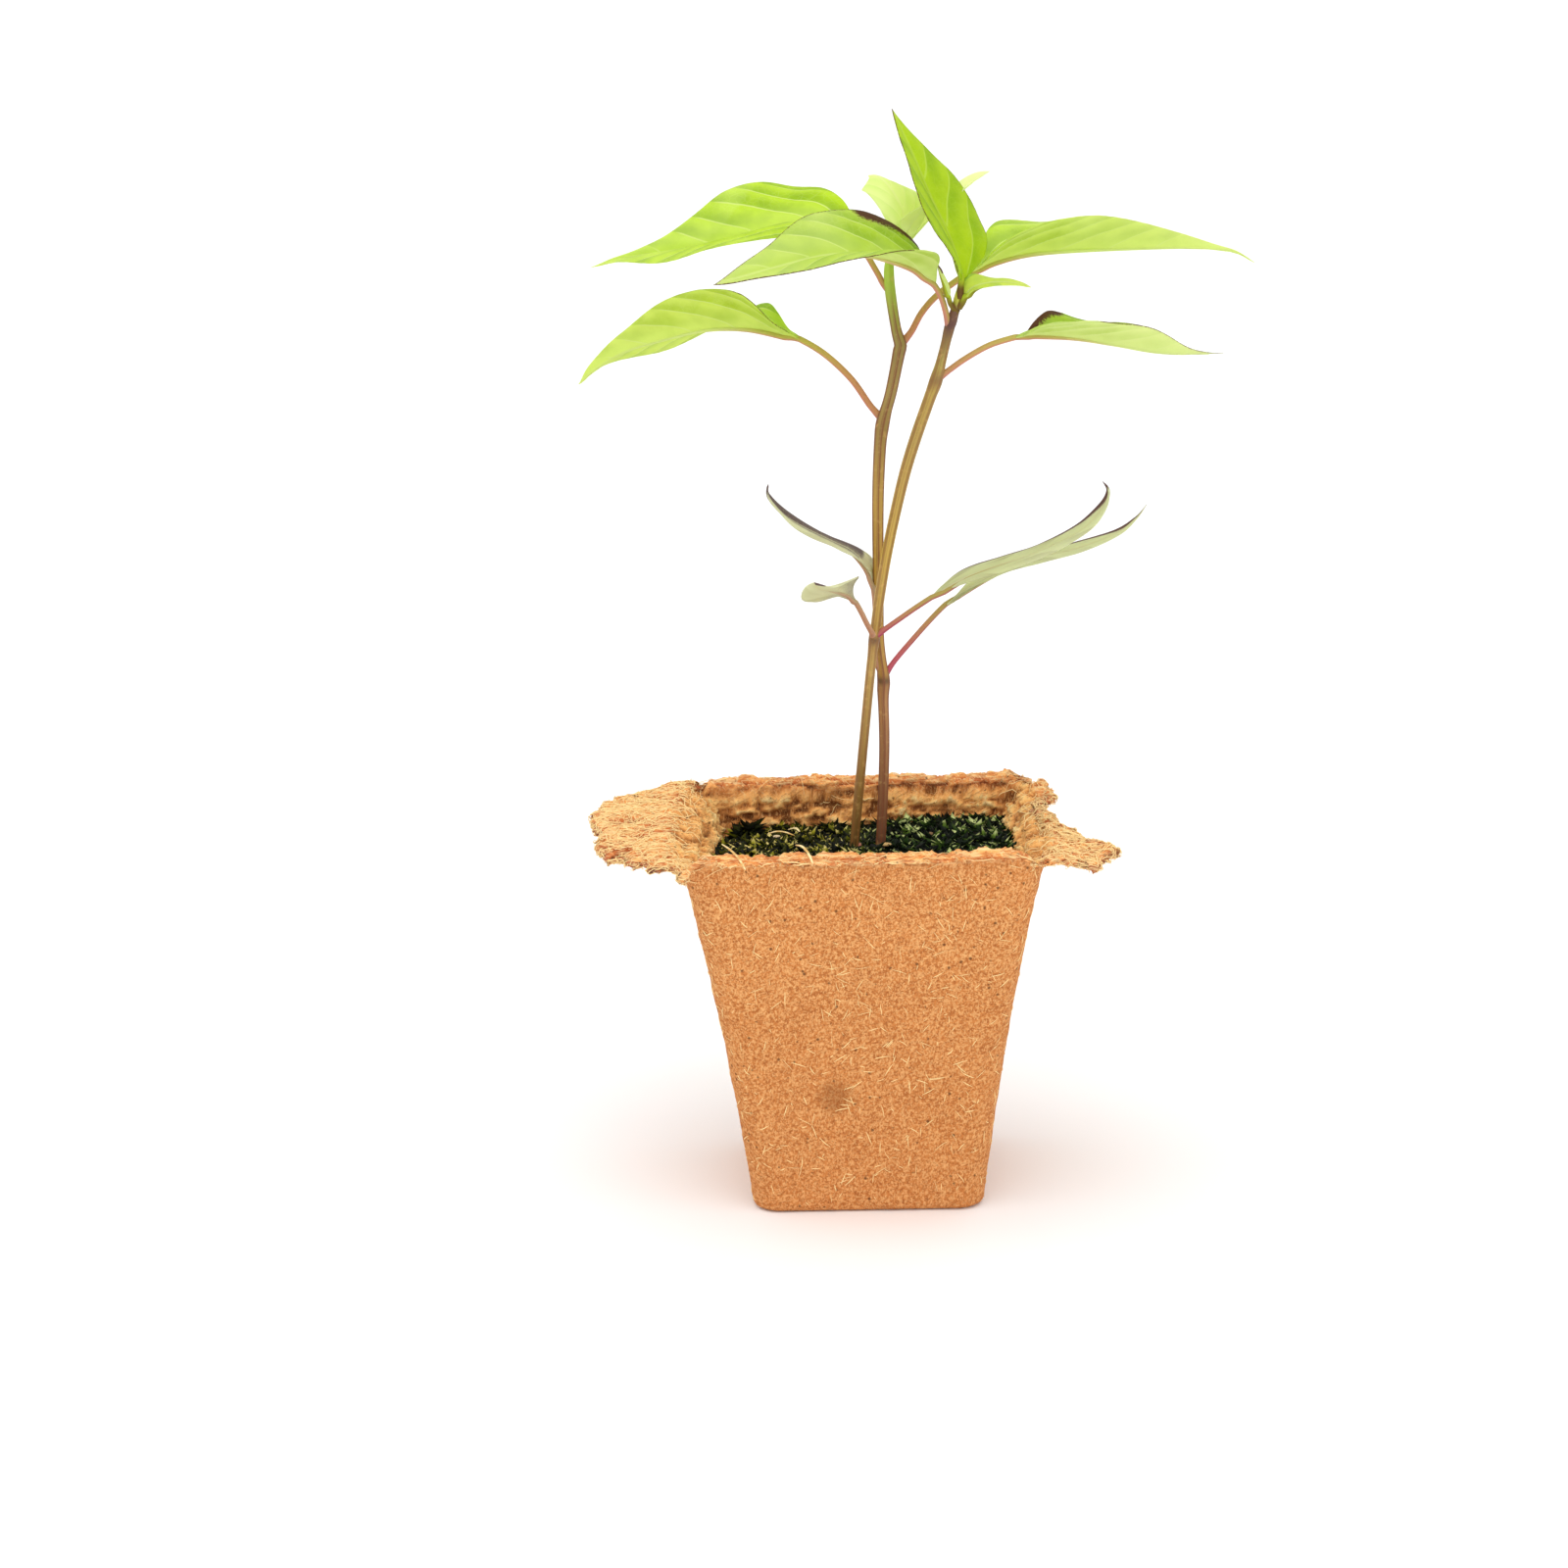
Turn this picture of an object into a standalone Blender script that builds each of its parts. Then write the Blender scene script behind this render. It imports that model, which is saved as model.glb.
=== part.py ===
# Potted chilli pepper plant: two seedlings in a square pot of pressed plant fibre.
# Lengths are written in millimetres and multiplied by MM, so the model comes out in metres.
# The origin is the centre of the pot's base, +Z is up and the pot's front faces -Y.

import math

import bmesh
import bpy
import numpy as np
from mathutils import Vector, noise

MM = 0.001
GAP = 0.3

# Pot: half widths are measured from the pot's axis to the outside of a wall.
BASE_HALF = 20.6
WALL_SLOPE = 0.115
WALL_FLARE = 0.0007
WALL_THICKNESS = 2.4
FLOOR_THICKNESS = 3.0
CORNER_RADIUS = 5.0
RIM_HEIGHT = 66.4
RIM_TILT = 0.02
RIM_LUMP = 0.5
FRONT_RISE = 2.2
FLANGE_THICKNESS = 2.2
FLANGE_DROOP = 0.11
TORN_EDGE = 0.6
RIM_EDGE = 0.6
BASE_BEVEL = 0.9
FRONT_LIP = 0.9
BACK_LIP = 1.8
SIDE_CUTS = 11
CORNER_CUTS = 4
WALL_LEVELS = (14.0, 30.0, 46.0, 57.0)

# Width of the torn flange on each side of the pot, as (distance from front to back, width).
LEFT_FLANGE = (
    (-31, 1.5), (-26, 5.5), (-23, 8.5), (-19, 11.5), (-15.5, 14), (-6, 16), (3, 17.6),
    (17, 18.6), (22.5, 17), (28.5, 12.5), (31, 7),
)
RIGHT_FLANGE = (
    (-31, 1), (-29, 6), (-26, 9.5), (-20, 12.7), (-17, 10.4), (-11, 7.5), (-7, 8), (-3, 5.8), (2, 4.7),
    (6, 3.3), (8, 1.4), (12, 2.3), (15, 3.5), (19, 4.4), (21.5, 2.8), (23, 1.2), (27, 0.3), (31, 0.3),
)

# Soil: it fills the pot to a little under the rim, with mounds as (x, y, radius, height).
SOIL_LEVEL = 60.4
SOIL_RINGS = 10
SOIL_RELIEF = 0.8
SOIL_EDGE_DROP = 1.0
SOIL_MOUNDS = ((-21, 19, 4.5, 2.2), (13, 21, 9, 1.4), (-6, 14, 8, 0.8), (3, -4, 7, 1.0), (19, 6, 6, 0.9))

# Stems: points on the axis as (x, y, z), from the buried end up, and radii as (z, radius).
STEM_SIDES = 10
STEM_RINGS = 34
STEM_POINTS = 200
FRONT_STEM = {
    "path": (
        (-2.4, 2.2, 48), (-1.4, 2.0, 61.5), (0.4, 1.7, 78.5), (2.0, 1.4, 92.9), (2.9, 1.0, 100.1),
        (4.2, 0.5, 109), (5.9, 0, 117.9), (8.4, -0.6, 128.4), (10.5, -1.0, 135.3), (13.0, -1.6, 142.3),
        (14.4, -2.0, 146.1), (15.7, -2.5, 150.9), (16.8, -3.0, 155.3), (17.9, -3.1, 156.9),
        (18.7, -3.4, 159.6),
    ),
    "radii": (
        (48, 0.4), (56, 0.8), (98, 0.8), (100, 1.0), (102, 0.85), (122, 0.92), (135, 1.0), (144, 1.0),
        (146.1, 1.25), (148, 0.88), (152, 0.75), (154.5, 0.8), (155.3, 1.0), (157, 0.65), (159.6, 0.7),
    ),
}
REAR_STEM = {
    "path": (
        (1.6, 3.2, 48), (3.3, 3.0, 61), (4.3, 3.6, 78), (4.3, 3.9, 88.7), (4.4, 4.0, 92), (3.7, 4.2, 99.4),
        (3.8, 4.5, 110), (3.9, 4.8, 120.6), (4.2, 5.0, 129), (4.9, 5.2, 136.9), (6.6, 5.3, 143.1),
        (8.1, 5.9, 149.9), (8.4, 6.0, 151.3), (7.7, 6.1, 154), (7.1, 6.2, 159.5), (7.1, 6.3, 162.8),
        (8.2, 6.4, 165), (9.2, 6.5, 166.6),
    ),
    "radii": (
        (48, 0.4), (56, 0.9), (75, 0.95), (88, 1.0), (92, 1.2), (95, 0.95), (115, 1.03), (128, 1.1),
        (134.5, 1.15), (137.8, 1.35), (140, 1.05), (148, 1.1), (151.3, 1.2), (153, 0.87), (159, 0.85),
        (160.3, 1.05), (163, 0.75), (166.6, 0.5),
    ),
}

# Leaves: each stands on a stem at a height. Its stalk and blade are (out, up) points in the upright
# plane through the stem that faces the heading, in degrees from +X towards +Y. Each half of the blade
# is (width, sharpness of its base, sharpness of its tip, degrees of rise from base to tip), and its
# margin waves by (height, number of waves, start of the first).
LEAF_THICKNESS = 0.62
BLADE_ARCH = 0.12
PROFILE_POINTS = 300
LARGE_LEAF_CUTS = {"stalk_rings": 9, "blade_rings": 17, "columns": 4}
SMALL_LEAF_CUTS = {"stalk_rings": 6, "blade_rings": 12, "columns": 3}
SMALL_BLADE = 5
LEAVES = (
    {
        "name": "rear_leaf_1", "stem": "rear", "height": 138.2, "heading": 156, "stalk_radius": 0.6,
        "stalk": ((2.5, 2.5), (6, 7), (11, 11.2), (16, 13.8)),
        "blade": ((19, 14.5), (26.5, 15.5), (34.5, 15), (42.5, 13), (50.5, 10.5), (57, 7), (60.5, 4)),
        "left": (10.5, 0.4, 1.4, (20, 48, 56, 62, 65)), "right": (10.5, 0.8, 0.8, (45, 20, -5, -10, 0)),
        "wave": (0.4, 2.5, 0.4),
    },
    {
        "name": "rear_leaf_2", "stem": "rear", "height": 151.3, "heading": 14, "stalk_radius": 0.6,
        "stalk": ((2, 2.2), (4, 5.5), (7, 8.5), (12, 11.7)),
        "blade": (
            (14, 12.5), (17, 13.8), (23.5, 15), (33, 15.2), (51, 14.7), (59, 14), (62.5, 13.2), (65.5, 11.3),
        ),
        "left": (10.5, 0.8, 1.2, (60, 32, 20, 14, 0)), "right": (10.5, 0.55, 1.9, (15, 35, 50, 60, 65)),
        "wave": (0.5, 2.5, 2.2),
    },
    {
        "name": "rear_leaf_3", "stem": "rear", "height": 160.2, "heading": 172, "stalk_radius": 0.55,
        "stalk": ((1.5, 1.8), (2.5, 3.7), (5, 7.9), (7, 9.8)),
        "blade": ((9.3, 11.2), (12.8, 12.5), (16.7, 12.7), (24, 11), (34.5, 8.4), (47, 6.6), (53.5, 5)),
        "left": (11, 0.9, 1.3, (-8, -6, -3, -5, -7)), "right": (12, 0.7, 2, (17, 30, 52, 62, 65)),
        "wave": (0.7, 2.2, 1),
    },
    {
        "name": "rear_leaf_4", "stem": "rear", "height": 166.4, "heading": 140, "stalk_radius": 0.45,
        "stalk": ((0, 1), (-0.2, 2.6)),
        "blade": ((-0.8, 5), (0, 8.5), (2, 11.5), (4.2, 13.5), (6, 13.7), (7.6, 12.5)),
        "left": (4.7, 0.6, 0.6, (-12, -13, -15, -20, -25)), "right": (6.5, 0.9, 1.5, (-5, 0, 0, -8, -15)),
        "wave": (0.1, 1.5, 0),
    },
    {
        "name": "rear_leaf_5", "stem": "rear", "height": 165.6, "heading": 304, "stalk_radius": 0.4,
        "stalk": ((1.1, 1.7), (1.7, 3)),
        "blade": ((2.6, 4.9), (4, 7.1), (5.6, 9.6)),
        "left": (2, 0.6, 0.9, (35, 30, 28, 25, 20)), "right": (2.4, 0.9, 0.7, (20, 16, 8, 0, -5)),
        "wave": (0.1, 1.5, 0),
    },
    {
        "name": "rear_leaf_6", "stem": "rear", "height": 163.6, "heading": 20, "stalk_radius": 0.45,
        "stalk": ((3, 3), (5, 5)),
        "blade": ((8, 9), (11, 12.2), (13.5, 14.6), (17.5, 17)),
        "left": (2.8, 0.5, 0.6, (10, 10, 13, 18, 22)), "right": (3.3, 0.4, 1.7, (12, 8, 0, -7, -14)),
        "wave": (0.1, 1.5, 0),
    },
    {
        "name": "front_leaf_1", "stem": "front", "height": 146.1, "heading": 8, "stalk_radius": 0.55,
        "stalk": ((2.7, 1.9), (5.5, 3.7), (9.5, 5.7), (14, 6.9)),
        "blade": ((16.5, 7.3), (19, 7.2), (25, 6.5), (32, 5), (39, 3.4), (46, 2.8), (51, 2.7)),
        "left": (9.5, 0.8, 1.7, (10, 18, 20, 40, 55)), "right": (9.5, 0.4, 1.4, (10, 22, 36, 55, 65)),
        "wave": (0.3, 2, 0.5),
    },
    {
        "name": "front_leaf_2", "stem": "front", "height": 155.2, "heading": 205, "stalk_radius": 0.55,
        "stalk": ((0.8, 3.4), (1.6, 5.7), (2.8, 7.6)),
        "blade": ((4.3, 9), (7, 11), (12.5, 13), (16.5, 13.8), (23.5, 14), (33, 12.5), (44, 10.4)),
        "left": (9.5, 0.9, 2, (40, 15, -5, -16, -30)), "right": (10, 0.35, 1.2, (30, 45, 52, 60, 65)),
        "wave": (0.3, 2, 2),
    },
    {
        "name": "front_leaf_3", "stem": "front", "height": 160.3, "heading": 128, "stalk_radius": 0.55,
        "stalk": ((-0.2, 2.2), (-0.5, 3.2)),
        "blade": ((-0.3, 4.5), (1.2, 7.8), (4, 12.3), (8, 17.4), (11, 22), (14.7, 27.2), (18, 31.6)),
        "left": (8.8, 0.4, 1.3, (45, 35, 31, 26, 20)), "right": (9.5, 0.75, 1.55, (-9, -7, -3, -3, -2)),
        "wave": (0.2, 2, 0),
    },
    {
        "name": "front_leaf_4", "stem": "front", "height": 158.8, "heading": -24, "stalk_radius": 0.45,
        "stalk": ((2.3, 2.7), (3.4, 3.3)),
        "blade": ((4.5, 4.1), (7.6, 4.6), (11.2, 4.4), (13.5, 3.8)),
        "left": (2.2, 0.4, 0.6, (30, 16, 6, -2, -10)), "right": (2.4, 0.4, 0.8, (-22, -18, -14, -12, -10)),
        "wave": (0.1, 1.5, 0),
    },
    {
        "name": "front_leaf_5", "stem": "front", "height": 158, "heading": 215, "stalk_radius": 0.35,
        "stalk": ((1.4, 1.4), (1.9, 2.8)),
        "blade": ((2.6, 4.8), (3.5, 6.8), (4.1, 8.6)),
        "left": (0.8, 0.5, 0.8, (20, 20, 20, 20, 20)), "right": (0.8, 0.5, 0.8, (20, 20, 20, 20, 20)),
        "wave": (0.1, 1.5, 0),
    },
    {
        "name": "front_seed_leaf_right", "stem": "front", "height": 100.1, "heading": -10,
        "stalk_radius": 0.45, "stalk": ((1.7, 1.3), (4.2, 3.1), (7.3, 5.3), (10.3, 7.3)),
        "blade": (
            (12.5, 8.7), (16.5, 11), (22.5, 13.4), (29.5, 15.7), (36.5, 19.4), (40.5, 23.5), (41.7, 26.5),
            (40.7, 28.3),
        ),
        "left": (3.9, 0.4, 0.6, (14, 13, 12, 19, 27)), "right": (3.7, 0.9, 0.6, (-25, -19, -11, -11, -16)),
        "wave": (0.1, 1.5, 0),
    },
    {
        "name": "front_seed_leaf_left", "stem": "front", "height": 100.1, "heading": 250,
        "stalk_radius": 0.45, "stalk": ((3.6, 3), (6.5, 5.7), (9.4, 8.1)),
        "blade": ((12.8, 10.1), (16.7, 11.4), (20.6, 12.4), (24.4, 13.4), (27.3, 14.2), (29.6, 15.5)),
        "left": (4, 0.9, 0.6, (65, 54, 34, 15, -8)), "right": (4.2, 0.9, 0.6, (-4, -20, -31, -32, -20)),
        "wave": (0.1, 1.5, 0),
    },
    {
        "name": "rear_seed_leaf_right", "stem": "rear", "height": 92, "heading": 16,
        "stalk_radius": 0.45, "stalk": ((2, 2.8), (5.3, 6.3), (9, 10), (11.8, 12.5)),
        "blade": ((14.6, 14.4), (22, 17.8), (29.5, 19.7), (37, 21), (44.3, 23.2), (48, 25.7), (50, 28)),
        "left": (3.6, 0.9, 1.2, (7, 8, 6, 9, 11)), "right": (3.6, 0.35, 1.3, (10, 4, -6, -15, -24)),
        "wave": (0.1, 1.5, 0),
    },
    {
        "name": "rear_seed_leaf_left", "stem": "rear", "height": 92, "heading": 195,
        "stalk_radius": 0.45, "stalk": ((2.1, 3.3), (2.1, 7.3), (2.2, 14.7), (2.2, 17.4)),
        "blade": (
            (2.4, 19.7), (5.3, 23.3), (8.8, 25.4), (14, 28.2), (17.6, 30.7), (20.2, 33.9), (20.3, 36.3),
        ),
        "left": (3.6, 0.9, 0.6, (-14, -15, -15, -13, -10)), "right": (3.7, 0.4, 0.6, (33, 15, 10, 16, 23)),
        "wave": (0.1, 1.5, 0),
    },
)


def material(name, colour, roughness):
    finish = bpy.data.materials.new(name)
    finish.use_nodes = True
    shader = finish.node_tree.nodes["Principled BSDF"]
    shader.inputs["Base Color"].default_value = (*colour, 1)
    shader.inputs["Roughness"].default_value = roughness
    shader.inputs["Metallic"].default_value = 0
    return finish


def smooth_path(points, count):
    # Points at even spacing along a smooth curve that passes through the given points.
    given = np.array(points, float)
    ends = np.vstack([2 * given[0] - given[1], given, 2 * given[-1] - given[-2]])
    fine = []
    for i in range(1, len(ends) - 2):
        before, start, stop, after = ends[i - 1:i + 3]
        for t in np.linspace(0, 1, 24, endpoint=False):
            fine.append(0.5 * (
                2 * start + (stop - before) * t
                + (2 * before - 5 * start + 4 * stop - after) * t ** 2
                + (3 * start - before - 3 * stop + after) * t ** 3
            ))
    fine = np.array(fine + [given[-1]])
    travelled = np.concatenate([[0], np.cumsum(np.linalg.norm(np.diff(fine, axis=0), axis=1))])
    stops = np.linspace(0, travelled[-1], count)
    return np.stack([np.interp(stops, travelled, fine[:, axis]) for axis in range(given.shape[1])], axis=1)


def value_at(table, place):
    # Straight-line value between the (place, value) pairs of a table.
    places, values = zip(*table)
    return float(np.interp(place, places, values))


def add_part(name, rings, finish, smooth_angle, mirrored_from=None):
    # Joins rings of points into one closed body, with a fan over each end. From the ring's point
    # mirrored_from on, faces are split the other way, so a blade's two faces are split alike.
    mesh_in_work = bmesh.new()
    rows = [[mesh_in_work.verts.new(Vector(point) * MM) for point in ring] for ring in rings]
    sides = len(rings[0])
    mirrored_from = sides if mirrored_from is None else mirrored_from
    for low, high in zip(rows, rows[1:]):
        for i in range(sides):
            j = (i + 1) % sides
            if i < mirrored_from:
                mesh_in_work.faces.new((low[i], low[j], high[j]))
                mesh_in_work.faces.new((low[i], high[j], high[i]))
            else:
                mesh_in_work.faces.new((low[i], low[j], high[i]))
                mesh_in_work.faces.new((low[j], high[j], high[i]))
    for row in (rows[0], rows[-1]):
        middle = sum((vert.co for vert in row), Vector()) / sides
        hub = mesh_in_work.verts.new(middle)
        for i in range(sides):
            mesh_in_work.faces.new((row[i], row[(i + 1) % sides], hub))
    bmesh.ops.recalc_face_normals(mesh_in_work, faces=mesh_in_work.faces)
    mesh = bpy.data.meshes.new(name)
    mesh_in_work.to_mesh(mesh)
    mesh_in_work.free()
    mesh.materials.append(finish)
    mesh.shade_smooth()
    mesh.set_sharp_from_angle(angle=math.radians(smooth_angle))
    part = bpy.data.objects.new(name, mesh)
    bpy.context.scene.collection.objects.link(part)
    return part


def outer_half(z):
    return BASE_HALF + WALL_SLOPE * z + WALL_FLARE * z ** 2


def inner_half(z):
    return outer_half(z) - WALL_THICKNESS


def square_ring(half, corner):
    # A rounded square as (x, y, outward x, outward y), anticlockwise from the front side's left end.
    points = []
    flat = half - corner
    for quarter in range(4):
        turn = math.radians(90 * quarter)
        side = [(-flat + 2 * flat * k / (SIDE_CUTS + 1), -half, -90) for k in range(SIDE_CUTS + 2)]
        bend = [90 / (CORNER_CUTS + 1) * k - 90 for k in range(1, CORNER_CUTS + 1)]
        arc = [
            (flat + corner * math.cos(math.radians(a)), -flat + corner * math.sin(math.radians(a)), a)
            for a in bend
        ]
        for x, y, facing in side + arc:
            facing = math.radians(facing) + turn
            points.append((
                x * math.cos(turn) - y * math.sin(turn), x * math.sin(turn) + y * math.cos(turn),
                math.cos(facing), math.sin(facing),
            ))
    return points


def flange_width(x, y, out_x, out_y):
    side = value_at(LEFT_FLANGE if out_x < 0 else RIGHT_FLANGE, y)
    end = FRONT_LIP if out_y < 0 else BACK_LIP
    torn = noise.noise(Vector((x, y, 3.7)) * 0.45) * TORN_EDGE * min(1, side / 4)
    return side * out_x ** 2 + end * out_y ** 2 + torn * out_x ** 2


def rim_level(x, y):
    # The torn rim stands higher along the front side, between its corners.
    inside = max(0, min(1, (28.5 - abs(x)) / 5))
    front = max(0, min(1, (-y - 20) / 5))
    lump = RIM_LUMP * noise.noise(Vector((x, y, 0)) * 0.11)
    return RIM_HEIGHT + RIM_TILT * y + FRONT_RISE * inside * front + lump


def pot_rings():
    top_half = outer_half(RIM_HEIGHT)

    def level_ring(half, corner, z):
        return [(x, y, z) for x, y, _, _ in square_ring(half, corner)]

    def rim_ring(half, corner, spread, drop):
        # spread is the share of the flange's width that the ring reaches out to.
        ring = []
        for x, y, out_x, out_y in square_ring(half, corner):
            width = flange_width(x, y, out_x, out_y)
            sag = FLANGE_DROOP * max(0, width - 2) * spread
            ring.append((
                x + out_x * width * spread, y + out_y * width * spread, rim_level(x, y) - drop - sag,
            ))
        return ring

    inner_corner = CORNER_RADIUS - WALL_THICKNESS
    flange_root = RIM_HEIGHT - FLANGE_THICKNESS - 1
    inner_edge = RIM_HEIGHT - 1.5
    rings = [level_ring(BASE_HALF - BASE_BEVEL, CORNER_RADIUS - BASE_BEVEL, 0)]
    rings += [level_ring(outer_half(z), CORNER_RADIUS, z) for z in (BASE_BEVEL,) + WALL_LEVELS]
    rings.append(rim_ring(outer_half(flange_root), CORNER_RADIUS, 0, RIM_HEIGHT - flange_root))
    rings.append(rim_ring(top_half, CORNER_RADIUS, 0.5, FLANGE_THICKNESS))
    rings.append(rim_ring(top_half, CORNER_RADIUS, 1.0, FLANGE_THICKNESS - RIM_EDGE))
    rings.append(rim_ring(top_half, CORNER_RADIUS, 0.97, RIM_EDGE))
    rings.append(rim_ring(top_half, CORNER_RADIUS, 0.5, RIM_EDGE / 4))
    rings.append(rim_ring(top_half - RIM_EDGE, CORNER_RADIUS - RIM_EDGE, 0, 0))
    rings.append(rim_ring(top_half - WALL_THICKNESS + RIM_EDGE, inner_corner + RIM_EDGE, 0, RIM_EDGE / 4))
    rings.append(rim_ring(inner_half(inner_edge), inner_corner, 0, RIM_HEIGHT - inner_edge))
    rings += [level_ring(inner_half(z), inner_corner, z) for z in reversed(WALL_LEVELS)]
    rings.append(level_ring(inner_half(FLOOR_THICKNESS), inner_corner, FLOOR_THICKNESS))
    return rings


def soil_height(x, y):
    height = SOIL_LEVEL + SOIL_RELIEF * noise.noise(Vector((x, y, 0)) * 0.33)
    height += 0.6 * SOIL_RELIEF * noise.noise(Vector((x, y, 9)) * 0.8)
    for mound_x, mound_y, radius, tall in SOIL_MOUNDS:
        height += tall * math.exp(-((x - mound_x) ** 2 + (y - mound_y) ** 2) / radius ** 2)
    return height


def soil_rings():
    corner = CORNER_RADIUS - WALL_THICKNESS
    floor = FLOOR_THICKNESS + GAP
    rings = []
    for z in (floor,) + WALL_LEVELS:
        rings.append([(x, y, z) for x, y, _, _ in square_ring(inner_half(z) - GAP, corner)])
    top_half = inner_half(WALL_LEVELS[-1]) - GAP
    for step in range(SOIL_RINGS):
        share = 1 - step / SOIL_RINGS
        edge_drop = SOIL_EDGE_DROP if step == 0 else 0
        rings.append([
            (x * share, y * share, soil_height(x * share, y * share) - edge_drop)
            for x, y, _, _ in square_ring(top_half, corner)
        ])
    return rings


def stem_rings(stem, extra=0.0):
    path = smooth_path(stem["path"], STEM_RINGS)
    rings = []
    for i, centre in enumerate(path):
        along = Vector(path[min(i + 1, STEM_RINGS - 1)] - path[max(i - 1, 0)]).normalized()
        across = Vector((1, 0, 0)) - along * along.x
        across.normalize()
        other = along.cross(across)
        radius = value_at(stem["radii"], centre[2]) + extra
        turns = [2 * math.pi * k / STEM_SIDES for k in range(STEM_SIDES)]
        rings.append([
            Vector(centre) + radius * (across * math.cos(a) + other * math.sin(a)) for a in turns
        ])
    return rings


def stem_at(stem, height):
    path = smooth_path(stem["path"], STEM_POINTS)
    x, y = (float(np.interp(height, path[:, 2], path[:, axis])) for axis in (0, 1))
    return Vector((x, y, height))


def blade_half_width(half, t):
    # 0 at both ends of the blade, with a long drawn-out tip.
    width, base, tip, _ = half
    peak = base / (base + tip)
    return width * t ** base * (1 - t) ** tip / (peak ** base * (1 - peak) ** tip)


def stalk_start(foot, ahead, profile, stem, stalk_radius):
    # First place along the leaf's profile that clears the stem.
    path = smooth_path(stem["path"], STEM_POINTS)
    reach = np.array([value_at(stem["radii"], z) for z in path[:, 2]]) + GAP + stalk_radius
    for i, (out, up) in enumerate(profile):
        place = np.array(foot) + np.array(ahead) * out + np.array((0, 0, up))
        if np.all(np.linalg.norm(path - place, axis=1) >= reach):
            return i
    return 0


def leaf_rings(leaf, stems):
    stem = stems[leaf["stem"]]
    foot = stem_at(stem, leaf["height"])
    heading = math.radians(leaf["heading"])
    ahead = Vector((math.cos(heading), math.sin(heading), 0))
    sides = {"left": Vector((-ahead.y, ahead.x, 0)), "right": Vector((ahead.y, -ahead.x, 0))}
    stalk_radius = leaf["stalk_radius"]
    cuts = SMALL_LEAF_CUTS if leaf["left"][0] < SMALL_BLADE else LARGE_LEAF_CUTS
    columns = cuts["columns"]
    thin = LEAF_THICKNESS / 2
    last = PROFILE_POINTS - 1

    profile = smooth_path(((0, 0),) + leaf["stalk"] + leaf["blade"], PROFILE_POINTS)
    stalk_end = int(np.argmin(np.linalg.norm(profile - np.array(leaf["stalk"][-1]), axis=1)))
    start = stalk_start(foot, ahead, profile, stem, stalk_radius)
    stops = np.linspace(start, stalk_end, cuts["stalk_rings"], endpoint=False).tolist()
    stops += np.linspace(stalk_end, last, cuts["blade_rings"]).tolist()

    shares = [(k - columns + 1) / (columns - 1) for k in range(2 * columns - 1)]
    rings = []
    for stop in stops:
        i = min(max(int(round(stop)), 1), last - 1)
        out, up = (float(np.interp(stop, range(PROFILE_POINTS), profile[:, axis])) for axis in (0, 1))
        run, climb = profile[i + 1] - profile[i - 1]
        slope = math.atan2(climb, run)
        normal = Vector((0, 0, math.cos(slope))) - ahead * math.sin(slope)
        centre = foot + ahead * out + Vector((0, 0, up))
        t = max(0, (stop - stalk_end) / (last - stalk_end))
        core = thin + (stalk_radius - thin) * (1 - t) ** 2
        top, bottom = [], []
        for share in shares:
            key = "left" if share < 0 else "right"
            half = blade_half_width(leaf[key], t)
            reach = max(half, stalk_radius * (1 - t) + thin * t)
            spread = min(1, half / 1.5)
            rises = leaf[key][3]
            rise = math.radians(float(np.interp(t, np.linspace(0, 1, len(rises)), rises))) * spread
            height, count, phase = leaf["wave"]
            wave = height * share ** 2 * math.sin(2 * math.pi * count * t + phase) * min(1, half / 3)
            arch = BLADE_ARCH * half * abs(share) * (1 - abs(share))
            point = centre + abs(share) * reach * (sides[key] * math.cos(rise) + normal * math.sin(rise))
            point += normal * (wave + arch)
            facing = normal * math.cos(rise) - sides[key] * math.sin(rise) if share else normal
            swell = math.sqrt(max(0, 1 - (share * reach / stalk_radius) ** 2))
            thick = thin + (core - thin) * swell
            top.append(point + facing * (thick + (thin - thick) * min(1, half)))
            bottom.append(point - facing * thick)
        rings.append(top + bottom[::-1])
    return rings


def build():
    for old in list(bpy.data.objects):
        bpy.data.objects.remove(old)

    fibre = material("pressed_fibre", (0.62, 0.34, 0.16), 0.95)
    earth = material("mossy_soil", (0.03, 0.045, 0.02), 0.95)
    front_bark = material("olive_stem", (0.36, 0.26, 0.06), 0.5)
    rear_bark = material("brown_stem", (0.28, 0.14, 0.07), 0.5)
    leaf_green = material("leaf_green", (0.38, 0.56, 0.05), 0.45)
    seed_leaf_green = material("seed_leaf_green", (0.42, 0.42, 0.24), 0.5)

    stems = {"front": FRONT_STEM, "rear": REAR_STEM}
    add_part("fibre_pot", pot_rings(), fibre, 40)
    soil = add_part("soil", soil_rings(), earth, 60)
    add_part("front_stem", stem_rings(FRONT_STEM), front_bark, 60)
    add_part("rear_stem", stem_rings(REAR_STEM), rear_bark, 60)

    for name, stem in stems.items():
        hole = add_part(name + "_stem_hole", stem_rings(stem, GAP), earth, 60)
        hole.hide_render = True
        hole.display_type = "WIRE"
        cut = soil.modifiers.new(name + "_stem_hole", "BOOLEAN")
        cut.operation = "DIFFERENCE"
        cut.solver = "EXACT"
        cut.object = hole

    for leaf in LEAVES:
        rings = leaf_rings(leaf, stems)
        finish = seed_leaf_green if "seed" in leaf["name"] else leaf_green
        add_part(leaf["name"], rings, finish, 60, mirrored_from=len(rings[0]) // 2)


build()
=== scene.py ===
import math
import re

import bmesh
import bpy
import numpy as np
from mathutils import Matrix, Vector, noise
from mathutils.bvhtree import BVHTree


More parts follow.
